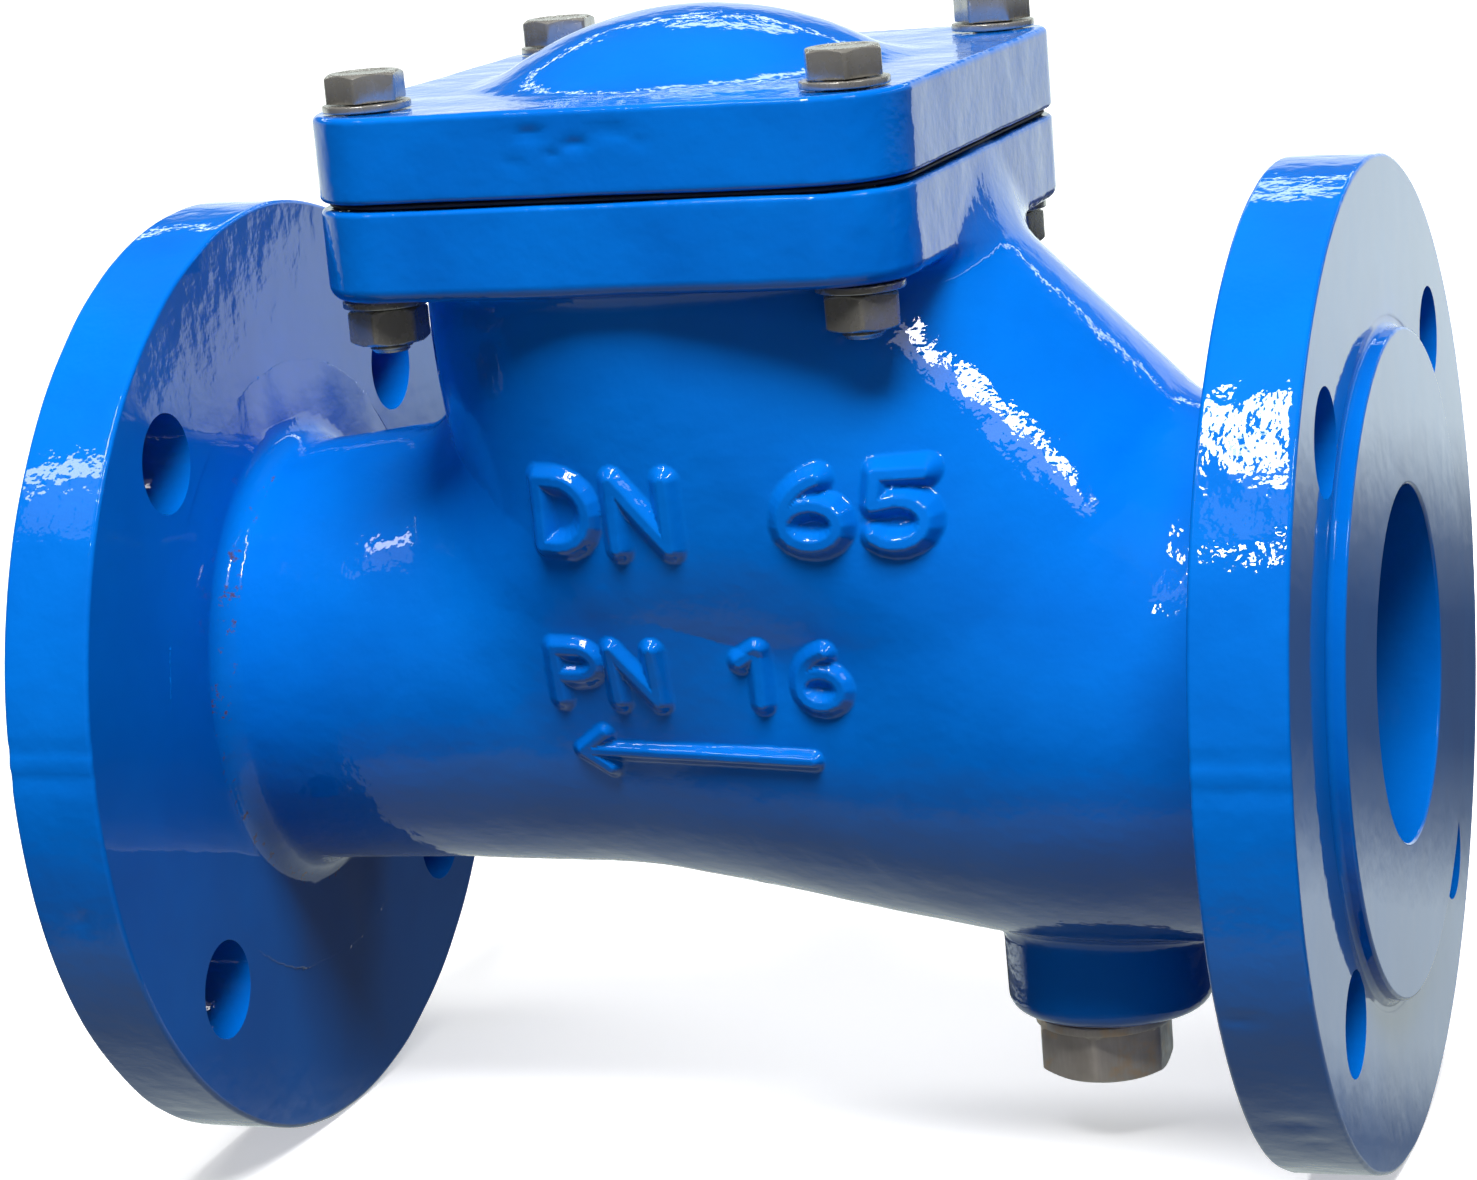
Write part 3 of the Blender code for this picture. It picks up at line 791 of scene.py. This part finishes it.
def build_plug():
    """The drain plug with its thread, collar and hexagon, and the ring that seals it."""
    steps = 180
    edge = COLLAR_EDGE
    bottom, top = PLUG_LOW.z, PLUG_HIGH.z
    collar_bottom = COLLAR_TOP_Z - COLLAR
    hexagon = hex_rows(PLUG_ACROSS_FLATS, bottom, collar_bottom + 0.5 * MM, True, steps, PLUG_TURN)
    # The thread is made upside down, because its chamfer is at the top
    end = -COLLAR_TOP_Z - 1.5 * MM
    thread = thread_rows(PLUG_CORE_R, PLUG_R, PLUG_PITCH, -top, end, steps, PLUG_CHAMFER)
    rows = [
        (0, bottom + PLUG_DISH),
        (PLUG_DISH_R, bottom + PLUG_DISH),
        (PLUG_DISH_RIM_R, bottom),
        *hexagon[:8],  # the rest is inside the collar
        *arc((COLLAR_R - edge, collar_bottom + edge), edge, -90, 0, 3),
        *arc((COLLAR_R - edge, COLLAR_TOP_Z - edge), edge, 0, 90, 3),
        (PLUG_UNDERCUT_R, COLLAR_TOP_Z),
        (PLUG_UNDERCUT_R, COLLAR_TOP_Z + PLUG_UNDERCUT),
        *((radius, -height) for radius, height in reversed(thread)),
        (0, top),
    ]
    plug = spun("hex_drain_plug", rows, steps, smooth_deg=FASTENER_SMOOTH)
    fit(plug, (DRAIN_X, 0), PLUG_STEEL, "drain_plug", "plug")

    low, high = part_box("drain_seal")
    outer_r = (high.x - low.x) / 2
    seal = flat_ring("sealing_ring", PLUG_R + GAP, outer_r, low.z, high.z, 0.2 * MM)
    fit(seal, (DRAIN_X, 0), FIBRE, "drain_seal", "seal")


def gasket_outline(angles):
    """Distance from the gasket's middle to its edge, at each angle, found by halving."""
    half_x = (GASKET_HIGH.x - GASKET_LOW.x) / 2
    half_y = (GASKET_HIGH.y - GASKET_LOW.y) / 2
    near, far = np.zeros(len(angles)), np.full(len(angles), 2 * half_y)
    for _ in range(40):
        reach = (near + far) / 2
        across = np.abs(reach * np.cos(angles)) - (half_x - PLATE_CORNER_R)
        along = np.abs(reach * np.sin(angles)) - (half_y - PLATE_CORNER_R)
        inside = box_length(across, along) < PLATE_CORNER_R
        near = np.where(inside, reach, near)
        far = np.where(inside, far, reach)
    return reach


def build_gasket():
    """The rubber sheet between pad and cover, its squeezed edge bulging a little."""
    steps = 400
    bulge = 0.5 * MM
    reach = gasket_outline(np.linspace(0, 2 * math.pi, steps, endpoint=False))
    bottom, top = GASKET_LOW.z, GASKET_HIGH.z
    middle, half = (bottom + top) / 2, (top - bottom) / 2
    rows = [
        (reach - bulge * (1 - math.cos(a)), middle + half * math.sin(a))
        for a in np.linspace(-1.57, 1.57, 7)
    ]
    rows += [(NECK_R, top), (NECK_R, bottom)]
    gasket = spun("gasket_sheet", rows, steps, closed=True)
    for side_x, side_y in ((-1, -1), (1, -1), (1, 1), (-1, 1)):
        place = (side_x * BOLT_HALF_X, side_y * BOLT_HALF_Y)
        drilled(gasket, place, BOLT_HOLE_R, bottom - MM, top + MM, 48)
    fit(gasket, (NECK_X, 0), RUBBER, "cover_gasket", "housing")


def build_ball():
    """The rubber-lined ball, with its mould seam and the plug of its pin hole."""
    room_r = BALL_R - BALL_LINING
    seam = 0.12 * MM
    seam_half = 0.5 * MM
    outer_start = math.degrees(math.acos(PIN_HOLE_R / BALL_R))
    inner_start = math.degrees(math.acos(PIN_HOLE_R / room_r))
    rows = [(0, -BALL_R)]
    for angle in np.radians(np.linspace(-88, outer_start, 110)):
        radius = BALL_R - seam + seam * math.exp(-((angle * BALL_R / seam_half) ** 2))
        rows.append((radius * math.cos(angle), radius * math.sin(angle)))
    rows += arc((0, 0), room_r, inner_start, -88, 59)
    rows += [(0, -room_r)]
    centre = Matrix.Translation((SEAT_X, 0, AXIS_Z)) @ Matrix.Rotation(math.radians(-90), 4, "X")
    lining = spun("rubber_ball", rows, 160)
    lining.data.transform(centre)
    fit(lining, (0, 0), BALL_RUBBER, "ball_lining", "ball")

    low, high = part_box("ball_pin_plug")
    radius = (high.x - low.x) / 2
    edge = 0.5 * MM
    rounding = arc((radius - edge, high.y - edge), edge, 0, 90, 3)
    rows = [(0, low.y), (radius, low.y), *rounding, (0, high.y)]
    pin = spun("pin_plug", rows, 48)
    pin.data.transform(centre)
    fit(pin, (0, 0), BALL_RUBBER, "ball_pin_plug", "ball")


# ---- materials

BLUE_DARK = (0.0, 0.124, 0.545, 1)
BLUE_LIGHT = (0.0, 0.148, 0.62, 1)
RUST = (0.09, 0.035, 0.012, 1)
TARNISH = (0.8, 0.55, 0.3, 1)
MACHINED_BUMP = 0.16  # share of the unevenness that machined faces keep
# The ring of rust specks round the outlet pipe: radius, half width, place and half length
RUST_R = 43.2 * MM
RUST_WIDTH = 1.6 * MM
RUST_X = -FLANGE_BACK_X + 1.5 * MM
RUST_LENGTH = 3 * MM


def link_node(tree, kind, inputs=None, **settings):
    """A shader node. An input is a value, or the socket that feeds it."""
    made = tree.nodes.new(kind)
    for key, value in settings.items():
        setattr(made, key, value)
    for key, value in (inputs or {}).items():
        if isinstance(value, bpy.types.NodeSocket):
            tree.links.new(value, made.inputs[key])
        else:
            made.inputs[key].default_value = value
    return made


def new_material(name, **shader_inputs):
    """A Principled material and its tree, shader and position socket."""
    made = bpy.data.materials.new(name)
    made.use_nodes = True
    tree = made.node_tree
    shader = tree.nodes["Principled BSDF"]
    for key, value in shader_inputs.items():
        shader.inputs[key.replace("_", " ")].default_value = value
    place = link_node(tree, "ShaderNodeTexCoord").outputs["Object"]
    return made, tree, shader, place


def maths(tree, operation, a, b=0.0, c=0.0):
    inputs = {0: a, 1: b, 2: c}
    return link_node(tree, "ShaderNodeMath", inputs, operation=operation).outputs[0]


def plus(tree, a, b):
    return maths(tree, "ADD", a, b)


def times(tree, a, b):
    return maths(tree, "MULTIPLY", a, b)


def xyz(tree, vector):
    return link_node(tree, "ShaderNodeSeparateXYZ", {0: vector}).outputs


def noise(tree, place, size, detail, roughness=0.5):
    """Noise whose features are about this many metres across."""
    inputs = {"Vector": place, "Scale": 1 / size, "Detail": detail, "Roughness": roughness}
    return link_node(tree, "ShaderNodeTexNoise", inputs).outputs["Fac"]


def stretched(tree, place, share):
    """The position with its height shrunk, for marks that run up and down."""
    inputs = {0: place, 1: (1, 1, share)}
    return link_node(tree, "ShaderNodeVectorMath", inputs, operation="MULTIPLY").outputs[0]


def spread_of(tree, value, low, high, to_low, to_high):
    """The value's range low to high mapped onto another range, and held there."""
    inputs = {"Value": value, "From Min": low, "From Max": high}
    inputs |= {"To Min": to_low, "To Max": to_high}
    return link_node(tree, "ShaderNodeMapRange", inputs).outputs["Result"]


def bump(tree, height, strength=1.0):
    """A normal from a height in metres."""
    inputs = {"Height": height, "Strength": strength, "Distance": 1.0}
    return link_node(tree, "ShaderNodeBump", inputs).outputs["Normal"]


def mix_colours(tree, share, a, b):
    """The first colour where the share is 0, the second where it is 1."""
    made = link_node(tree, "ShaderNodeMix", data_type="RGBA")
    for socket, value in ((made.inputs[0], share), (made.inputs[6], a), (made.inputs[7], b)):
        if isinstance(value, bpy.types.NodeSocket):
            tree.links.new(value, socket)
        else:
            socket.default_value = value
    return made.outputs[2]


def noise_height(tree, place, size, detail, high):
    return times(tree, noise(tree, place, size, detail), high)


def neck_rust(tree, place, parts):
    """Where rust specks show: in the corner between the outlet pipe and its flange."""
    across = maths(tree, "SUBTRACT", parts["Z"], AXIS_Z)
    squares = [maths(tree, "POWER", value, 2) for value in (parts["Y"], across)]
    radius = maths(tree, "SQRT", plus(tree, *squares))
    ring = maths(tree, "COMPARE", radius, RUST_R, RUST_WIDTH)
    near = maths(tree, "COMPARE", parts["X"], RUST_X, RUST_LENGTH)
    specks = spread_of(tree, noise(tree, place, 2.2 * MM, 4.0, 0.7), 0.58, 0.66, 0, 0.75)
    return times(tree, times(tree, ring, near), specks)


def machined_share(tree, parts):
    """1 on the flanges' faces and backs, where the paint lies on machined metal and is smoother."""
    facing = link_node(tree, "ShaderNodeTexCoord").outputs["Normal"]
    along = maths(tree, "ABSOLUTE", xyz(tree, facing)["X"])
    flange_share = spread_of(tree, maths(tree, "ABSOLUTE", parts["X"]), 92 * MM, 95 * MM, 0, 1)
    return times(tree, flange_share, spread_of(tree, along, 0.95, 0.995, 0, 1))


def epoxy_paint():
    """Glossy blue fusion-bonded epoxy over a sand casting."""
    made, tree, shader, place = new_material(
        "blue_epoxy", Roughness=0.5, Specular_IOR_Level=0.05, Coat_Weight=1.0, Coat_Roughness=0.03
    )
    tone = spread_of(tree, noise(tree, place, 30 * MM, 3.0), 0.35, 0.65, 0, 1)
    colour = mix_colours(tree, tone, BLUE_DARK, BLUE_LIGHT)
    parts = xyz(tree, place)
    colour = mix_colours(tree, neck_rust(tree, place, parts), colour, RUST)
    tree.links.new(colour, shader.inputs["Base Color"])
    waves = noise_height(tree, place, 10 * MM, 1.0, 0.3 * MM)
    peel = noise_height(tree, place, 2.8 * MM, 2.0, 0.11 * MM)
    grain = noise_height(tree, place, 1.1 * MM, 1.0, 0.008 * MM)
    runs = noise_height(tree, stretched(tree, place, 0.14), 1.6 * MM, 2.0, 0.018 * MM)
    height = plus(tree, plus(tree, waves, peel), plus(tree, grain, runs))
    strength = maths(tree, "MULTIPLY_ADD", machined_share(tree, parts), MACHINED_BUMP - 1, 1.0)
    normal = bump(tree, height, strength)
    tree.links.new(normal, shader.inputs["Normal"])
    tree.links.new(normal, shader.inputs["Coat Normal"])
    return made


def rubber(name):
    made, tree, shader, place = new_material(name, Roughness=0.55, IOR=1.5)
    tone = noise(tree, place, 8 * MM, 3.0)
    colour = mix_colours(tree, tone, (0.012, 0.012, 0.013, 1), (0.03, 0.03, 0.03, 1))
    tree.links.new(colour, shader.inputs["Base Color"])
    height = noise_height(tree, place, 0.6 * MM, 2.0, 0.01 * MM)
    tree.links.new(bump(tree, height), shader.inputs["Normal"])
    return made


def bare_metal(name, colour, dark, roughness, grain, tarnish=0.0, metallic=0.7):
    """Plain metal or fibre with fine drawn lines, a little stain and, if asked, brown tarnish."""
    made, tree, shader, place = new_material(name, Metallic=metallic)
    stain = noise(tree, place, 6 * MM, 3.0)
    base = mix_colours(tree, spread_of(tree, stain, 0.3, 0.75, 0, 1), colour, dark)
    lines = noise(tree, stretched(tree, place, 0.06), 0.5 * MM, 3.0)
    base = mix_colours(tree, spread_of(tree, lines, 0.3, 0.7, 0, 0.35), base, dark)
    if tarnish:
        brown = spread_of(tree, noise(tree, place, 7 * MM, 4.0, 0.65), 0.5, 0.62, 0, tarnish)
        base = mix_colours(tree, brown, base, TARNISH)
    tree.links.new(base, shader.inputs["Base Color"])
    smudges = noise(tree, place, 2 * MM, 3.0)
    rough = spread_of(tree, smudges, 0.3, 0.7, roughness * 0.75, roughness * 1.3)
    tree.links.new(rough, shader.inputs["Roughness"])
    height = noise_height(tree, place, 0.5 * MM, 3.0, grain)
    tree.links.new(bump(tree, height), shader.inputs["Normal"])
    return made


def assign(item, material):
    item.data.materials.clear()
    item.data.materials.append(material)


# ---- the object

PAINT = epoxy_paint()
RUBBER = rubber("gasket_rubber")
STAINLESS = bare_metal(
    "stainless_steel", (0.52, 0.5, 0.46, 1), (0.4, 0.38, 0.34, 1), 0.25, 0.004 * MM
)
PLUG_STEEL = bare_metal(
    "plug_steel", (0.8, 0.73, 0.65, 1), (0.55, 0.49, 0.42, 1), 0.45, 0.012 * MM, 0.6, metallic=0.3
)
ALUMINIUM = bare_metal("ball_aluminium", (0.75, 0.76, 0.78, 1), (0.6, 0.6, 0.62, 1), 0.4, 0.01 * MM)
BALL_RUBBER = rubber("ball_rubber")
FIBRE = bare_metal("sealing_fibre", (0.35, 0.16, 0.08, 1), (0.25, 0.11, 0.05, 1), 0.7, 0.02 * MM)


def want_marks(centres, turn):
    """The faces round the marks, and in the second round only those under a mark."""
    x, y, z = centres.T
    wanted = in_marks_area(x, z) & (y < -0.7 * POCKET_R)
    return wanted & (marks_height(x, z) > 0) if turn else wanted


def build_body():
    """The body in three pieces: the core casting and the two flanges."""
    reach = CORE_END_X + 3 * MM
    low = (-reach, -PLATE_HALF_Y - 2 * MM, BOSS_BOTTOM - 2 * MM)
    high = (reach, PLATE_HALF_Y + 2 * MM, PAD_TOP + 2 * MM)
    core = cast_object("body_casting", body_distance, low, high, BODY_STEP, want_marks)
    for name, side in (("outlet_flange", -1), ("inlet_flange", 1)):
        disc = flange(name, side)
        assign(disc, PAINT)
        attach(disc, "housing")
    assign(core, PAINT)
    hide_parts("valve_body")
    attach(core, "housing")


def build_cover():
    low = (COVER_LOW.x - 2 * MM, COVER_LOW.y - 2 * MM, COVER_BOTTOM - 2 * MM)
    high = (COVER_HIGH.x + 2 * MM, COVER_HIGH.y + 2 * MM, COVER_HIGH.z - AXIS_Z + 2 * MM)
    cover = cast_object("cover_casting", cover_distance, low, high, COVER_STEP)
    fit(cover, (0, 0), PAINT, "cover", "housing")


# ---- camera, floor and light

# Camera fitted to the photograph
CAMERA_PLACE = (0.24941, -0.70195, AXIS_Z + 0.18102)
CAMERA_AZIMUTH = 20.16
CAMERA_ELEVATION = 12.56
CAMERA_ROLL = -4.92
CAMERA_LENS = 97.45  # mm, for a sensor 36 mm wide

FLOOR_GLOW = 0.48  # brings the floor's shade up to nearly white


def build_camera():
    made = bpy.data.cameras.new("camera")
    made.lens = CAMERA_LENS
    made.sensor_width = 36
    made.clip_end = 100
    camera = linked("camera", made)
    camera.matrix_world = (
        Matrix.Translation(CAMERA_PLACE)
        @ Matrix.Rotation(math.radians(CAMERA_AZIMUTH), 4, "Z")
        @ Matrix.Rotation(math.pi / 2 - math.radians(CAMERA_ELEVATION), 4, "X")
        @ Matrix.Rotation(math.radians(CAMERA_ROLL), 4, "Z")
    )
    bpy.context.scene.camera = camera


def build_stage():
    """A pale floor that curves up into a backdrop far behind. Reflections don't show it."""
    reach, far, bend, high = 6.0, 2.6, 1.0, 3.4
    points = [(-reach, 0.0), (far - bend, 0.0)]
    for a in np.linspace(0, math.pi / 2, 24):
        points.append((far - bend * (1 - math.sin(a)), bend * (1 - math.cos(a))))
    points.append((far, high))
    shape = bmesh.new()
    rows = [[shape.verts.new((x, y, z)) for y, z in points] for x in (-reach, reach)]
    for k in range(len(points) - 1):
        shape.faces.new((rows[0][k], rows[1][k], rows[1][k + 1], rows[0][k + 1]))
    floor = to_object("studio_floor", shape)
    looks = {"Base_Color": (0.9, 0.9, 0.9, 1), "Emission_Color": (1, 1, 1, 1)}
    made = new_material("pale_floor", Roughness=0.8, Emission_Strength=FLOOR_GLOW, **looks)[0]
    assign(floor, made)
    floor.visible_diffuse = False
    floor.visible_glossy = False
    floor.visible_shadow = False


def area_light(name, place, target, size, power, seen):
    """A rectangular lamp, seen by "glossy" rays only, as reflections, or by "diffuse" ones only."""
    made = bpy.data.lights.new(name, "AREA")
    made.shape = "RECTANGLE"
    made.size, made.size_y = size
    made.energy = power
    lamp = linked(name, made)
    lamp.location = place
    lamp.rotation_euler = (Vector(target) - Vector(place)).to_track_quat("-Z", "Y").to_euler()
    lamp.visible_glossy = seen == "glossy"
    lamp.visible_diffuse = seen == "diffuse"


def stepped(tree, value, stops):
    """A value that follows straight lines between (place, level) stops."""
    ramp = tree.nodes.new("ShaderNodeFloatCurve")
    tree.links.new(spread_of(tree, value, -1, 1, 0, 1), ramp.inputs["Value"])
    curve = ramp.mapping.curves[0]
    points = [((place + 1) / 2, level) for place, level in stops]
    curve.points[0].location, curve.points[-1].location = points[0], points[-1]
    for point in points[1:-1]:
        curve.points.new(*point)
    for point in curve.points:
        point.handle_type = "VECTOR"
    ramp.mapping.update()
    return ramp.outputs["Value"]


# Brightness of the surroundings by the sine of the height, behind the valve and in front of it
BEHIND = (
    (-1, 0.6), (-0.38, 0.6), (-0.355, 0.1), (-0.235, 0.07), (-0.215, 0.25), (-0.19, 1.35),
    (-0.15, 1.45), (0.05, 1.25), (0.15, 1.0), (0.27, 0.95), (0.33, 0.15), (0.4, 0.04), (1, 0.04),
)
LOW_GLOW = ((-1, 0), (-0.36, 0), (-0.34, 0.8), (-0.303, 0.85), (-0.285, 0.2), (-0.265, 0), (1, 0))
IN_FRONT = ((-1, 0.45), (-0.74, 0.4), (-0.66, 0.12), (-0.5, 0.06), (-0.42, 0.01), (1, 0.01))
# Lamps far behind, as the middle and half size of what they fill: a long one and a short one
LONG_TUBE_Z = (0.44, 0.013)
SHORT_TUBE_Z = (0.56, 0.035)
SHORT_TUBE_X = (-0.2, 0.12)
LONG_TUBE_LEVEL = 5.0
SHORT_TUBE_LEVEL = 4.0
WALL_TILT = -0.12  # the bright wall behind stands a little higher towards +X
WALL_DROP = 0.02
# Its right end leans outwards below this height
EDGE_LEAN = 0.77
EDGE_HEIGHT = -0.1
REFLECTED_TINT = (0.89, 1.0, 0.98, 1)
# How much of the surroundings, behind and in front, lights surfaces that don't mirror them
FILL = 0.12
FILL_BELOW = 0.3


def world_strength(tree):
    """Brightness of the surroundings: bright behind the valve and dark in front of it."""
    parts = xyz(tree, link_node(tree, "ShaderNodeTexCoord").outputs["Generated"])
    x, y, z = parts["X"], parts["Y"], parts["Z"]
    behind = spread_of(tree, y, 0.0, 0.3, 0.0, 1.0)
    front = maths(tree, "SUBTRACT", 1.0, behind)
    tilted = maths(tree, "MULTIPLY_ADD", x, WALL_TILT, plus(tree, z, WALL_DROP))
    tube = times(tree, maths(tree, "COMPARE", z, *LONG_TUBE_Z), LONG_TUBE_LEVEL)
    short_tube = maths(tree, "COMPARE", x, *SHORT_TUBE_X)
    short_tube = times(tree, short_tube, maths(tree, "COMPARE", z, *SHORT_TUBE_Z))
    tube = maths(tree, "MULTIPLY_ADD", short_tube, SHORT_TUBE_LEVEL, tube)
    left = spread_of(tree, x, 0.25, 0.35, 1, 0)
    glow = times(tree, stepped(tree, tilted, LOW_GLOW), left)
    edge = maths(tree, "MULTIPLY_ADD", maths(tree, "MINIMUM", z, EDGE_HEIGHT), EDGE_LEAN, x)
    inside = spread_of(tree, edge, 0.345, 0.355, 1, 0.1)
    wall = times(tree, stepped(tree, tilted, BEHIND), inside)
    far = times(tree, behind, plus(tree, plus(tree, wall, glow), tube))
    near = times(tree, front, stepped(tree, z, IN_FRONT))
    mirrored = link_node(tree, "ShaderNodeLightPath").outputs["Is Glossy Ray"]
    far_share = maths(tree, "MULTIPLY_ADD", mirrored, 1 - FILL, FILL)
    near_share = maths(tree, "MULTIPLY_ADD", mirrored, 1 - FILL_BELOW, FILL_BELOW)
    return maths(tree, "MULTIPLY_ADD", far, far_share, times(tree, near, near_share))


def build_world():
    """White to look at, and uneven surroundings in reflections and as light."""
    world = bpy.data.worlds.new("studio")
    bpy.context.scene.world = world
    world.use_nodes = True
    tree = world.node_tree
    background = tree.nodes["Background"].inputs
    looked_at = link_node(tree, "ShaderNodeLightPath").outputs["Is Camera Ray"]
    strength = maths(tree, "MAXIMUM", world_strength(tree), looked_at)
    tree.links.new(strength, background["Strength"])
    tint = mix_colours(tree, looked_at, REFLECTED_TINT, (1, 1, 1, 1))
    tree.links.new(tint, background["Color"])


MIDDLE = (0, 0, AXIS_Z)
LAMP_Z = AXIS_Z + 1.5
# Name, place, target, size and power in watts. The paint mirrors the first lamps, which stand where
# the photograph's highlights ask for them. The others give soft light only
MIRRORED_LAMPS = (
    ("tube_middle", (-0.235, -0.74, LAMP_Z), (-0.235, 0, AXIS_Z), (0.12, 0.6), 8),
    ("tube_left", (-1.06, -0.85, LAMP_Z), (-1.06, 0, AXIS_Z), (0.34, 0.16), 1.8),
    ("tube_right", (1.33, -0.74, LAMP_Z), MIDDLE, (0.36, 0.13), 4.4),
    ("tube_thin", (-0.46, -0.8, LAMP_Z), (-0.46, 0, AXIS_Z), (0.32, 0.1), 1.8),
    ("haze_right", (1.3, -1.0, LAMP_Z), MIDDLE, (0.4, 0.3), 0.9),
    ("haze_left", (-1.1, -1.2, LAMP_Z), (-1.1, 0, AXIS_Z), (0.3, 0.4), 0.25),
    ("haze_middle", (-0.25, -1.25, LAMP_Z), (-0.25, 0, AXIS_Z), (0.2, 0.45), 0.2),
    ("front_spot", (-0.405, -1.8, LAMP_Z), MIDDLE, (0.12, 0.1), 1.6),
)
SOFT_LAMPS = (
    ("soft_top", (0.3, -1.15, 2.3), MIDDLE, (1.4, 1.0), 110),
    ("soft_front", (0.2, -2.4, 0.9), MIDDLE, (2.0, 1.4), 7),
    ("soft_low", (0.1, -0.9, 0.05), (0, 0, AXIS_Z - 0.02), (1.4, 0.2), 0.9),
    ("soft_right", (2.0, -0.5, 0.9), MIDDLE, (1.2, 1.2), 4.5),
    ("backdrop", (0, 1.2, 2.6), (0, 2.4, 0.4), (4.0, 1.2), 90),
)


build_camera()
build_stage()
build_world()
for lamp_settings in MIRRORED_LAMPS:
    area_light(*lamp_settings, seen="glossy")
for lamp_settings in SOFT_LAMPS:
    area_light(*lamp_settings, seen="diffuse")
build_body()
build_cover()
build_gasket()
build_bolts()
build_plug()
build_ball()
assign(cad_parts["ball_core"], ALUMINIUM)

bpy.context.scene.view_settings.view_transform = "Standard"
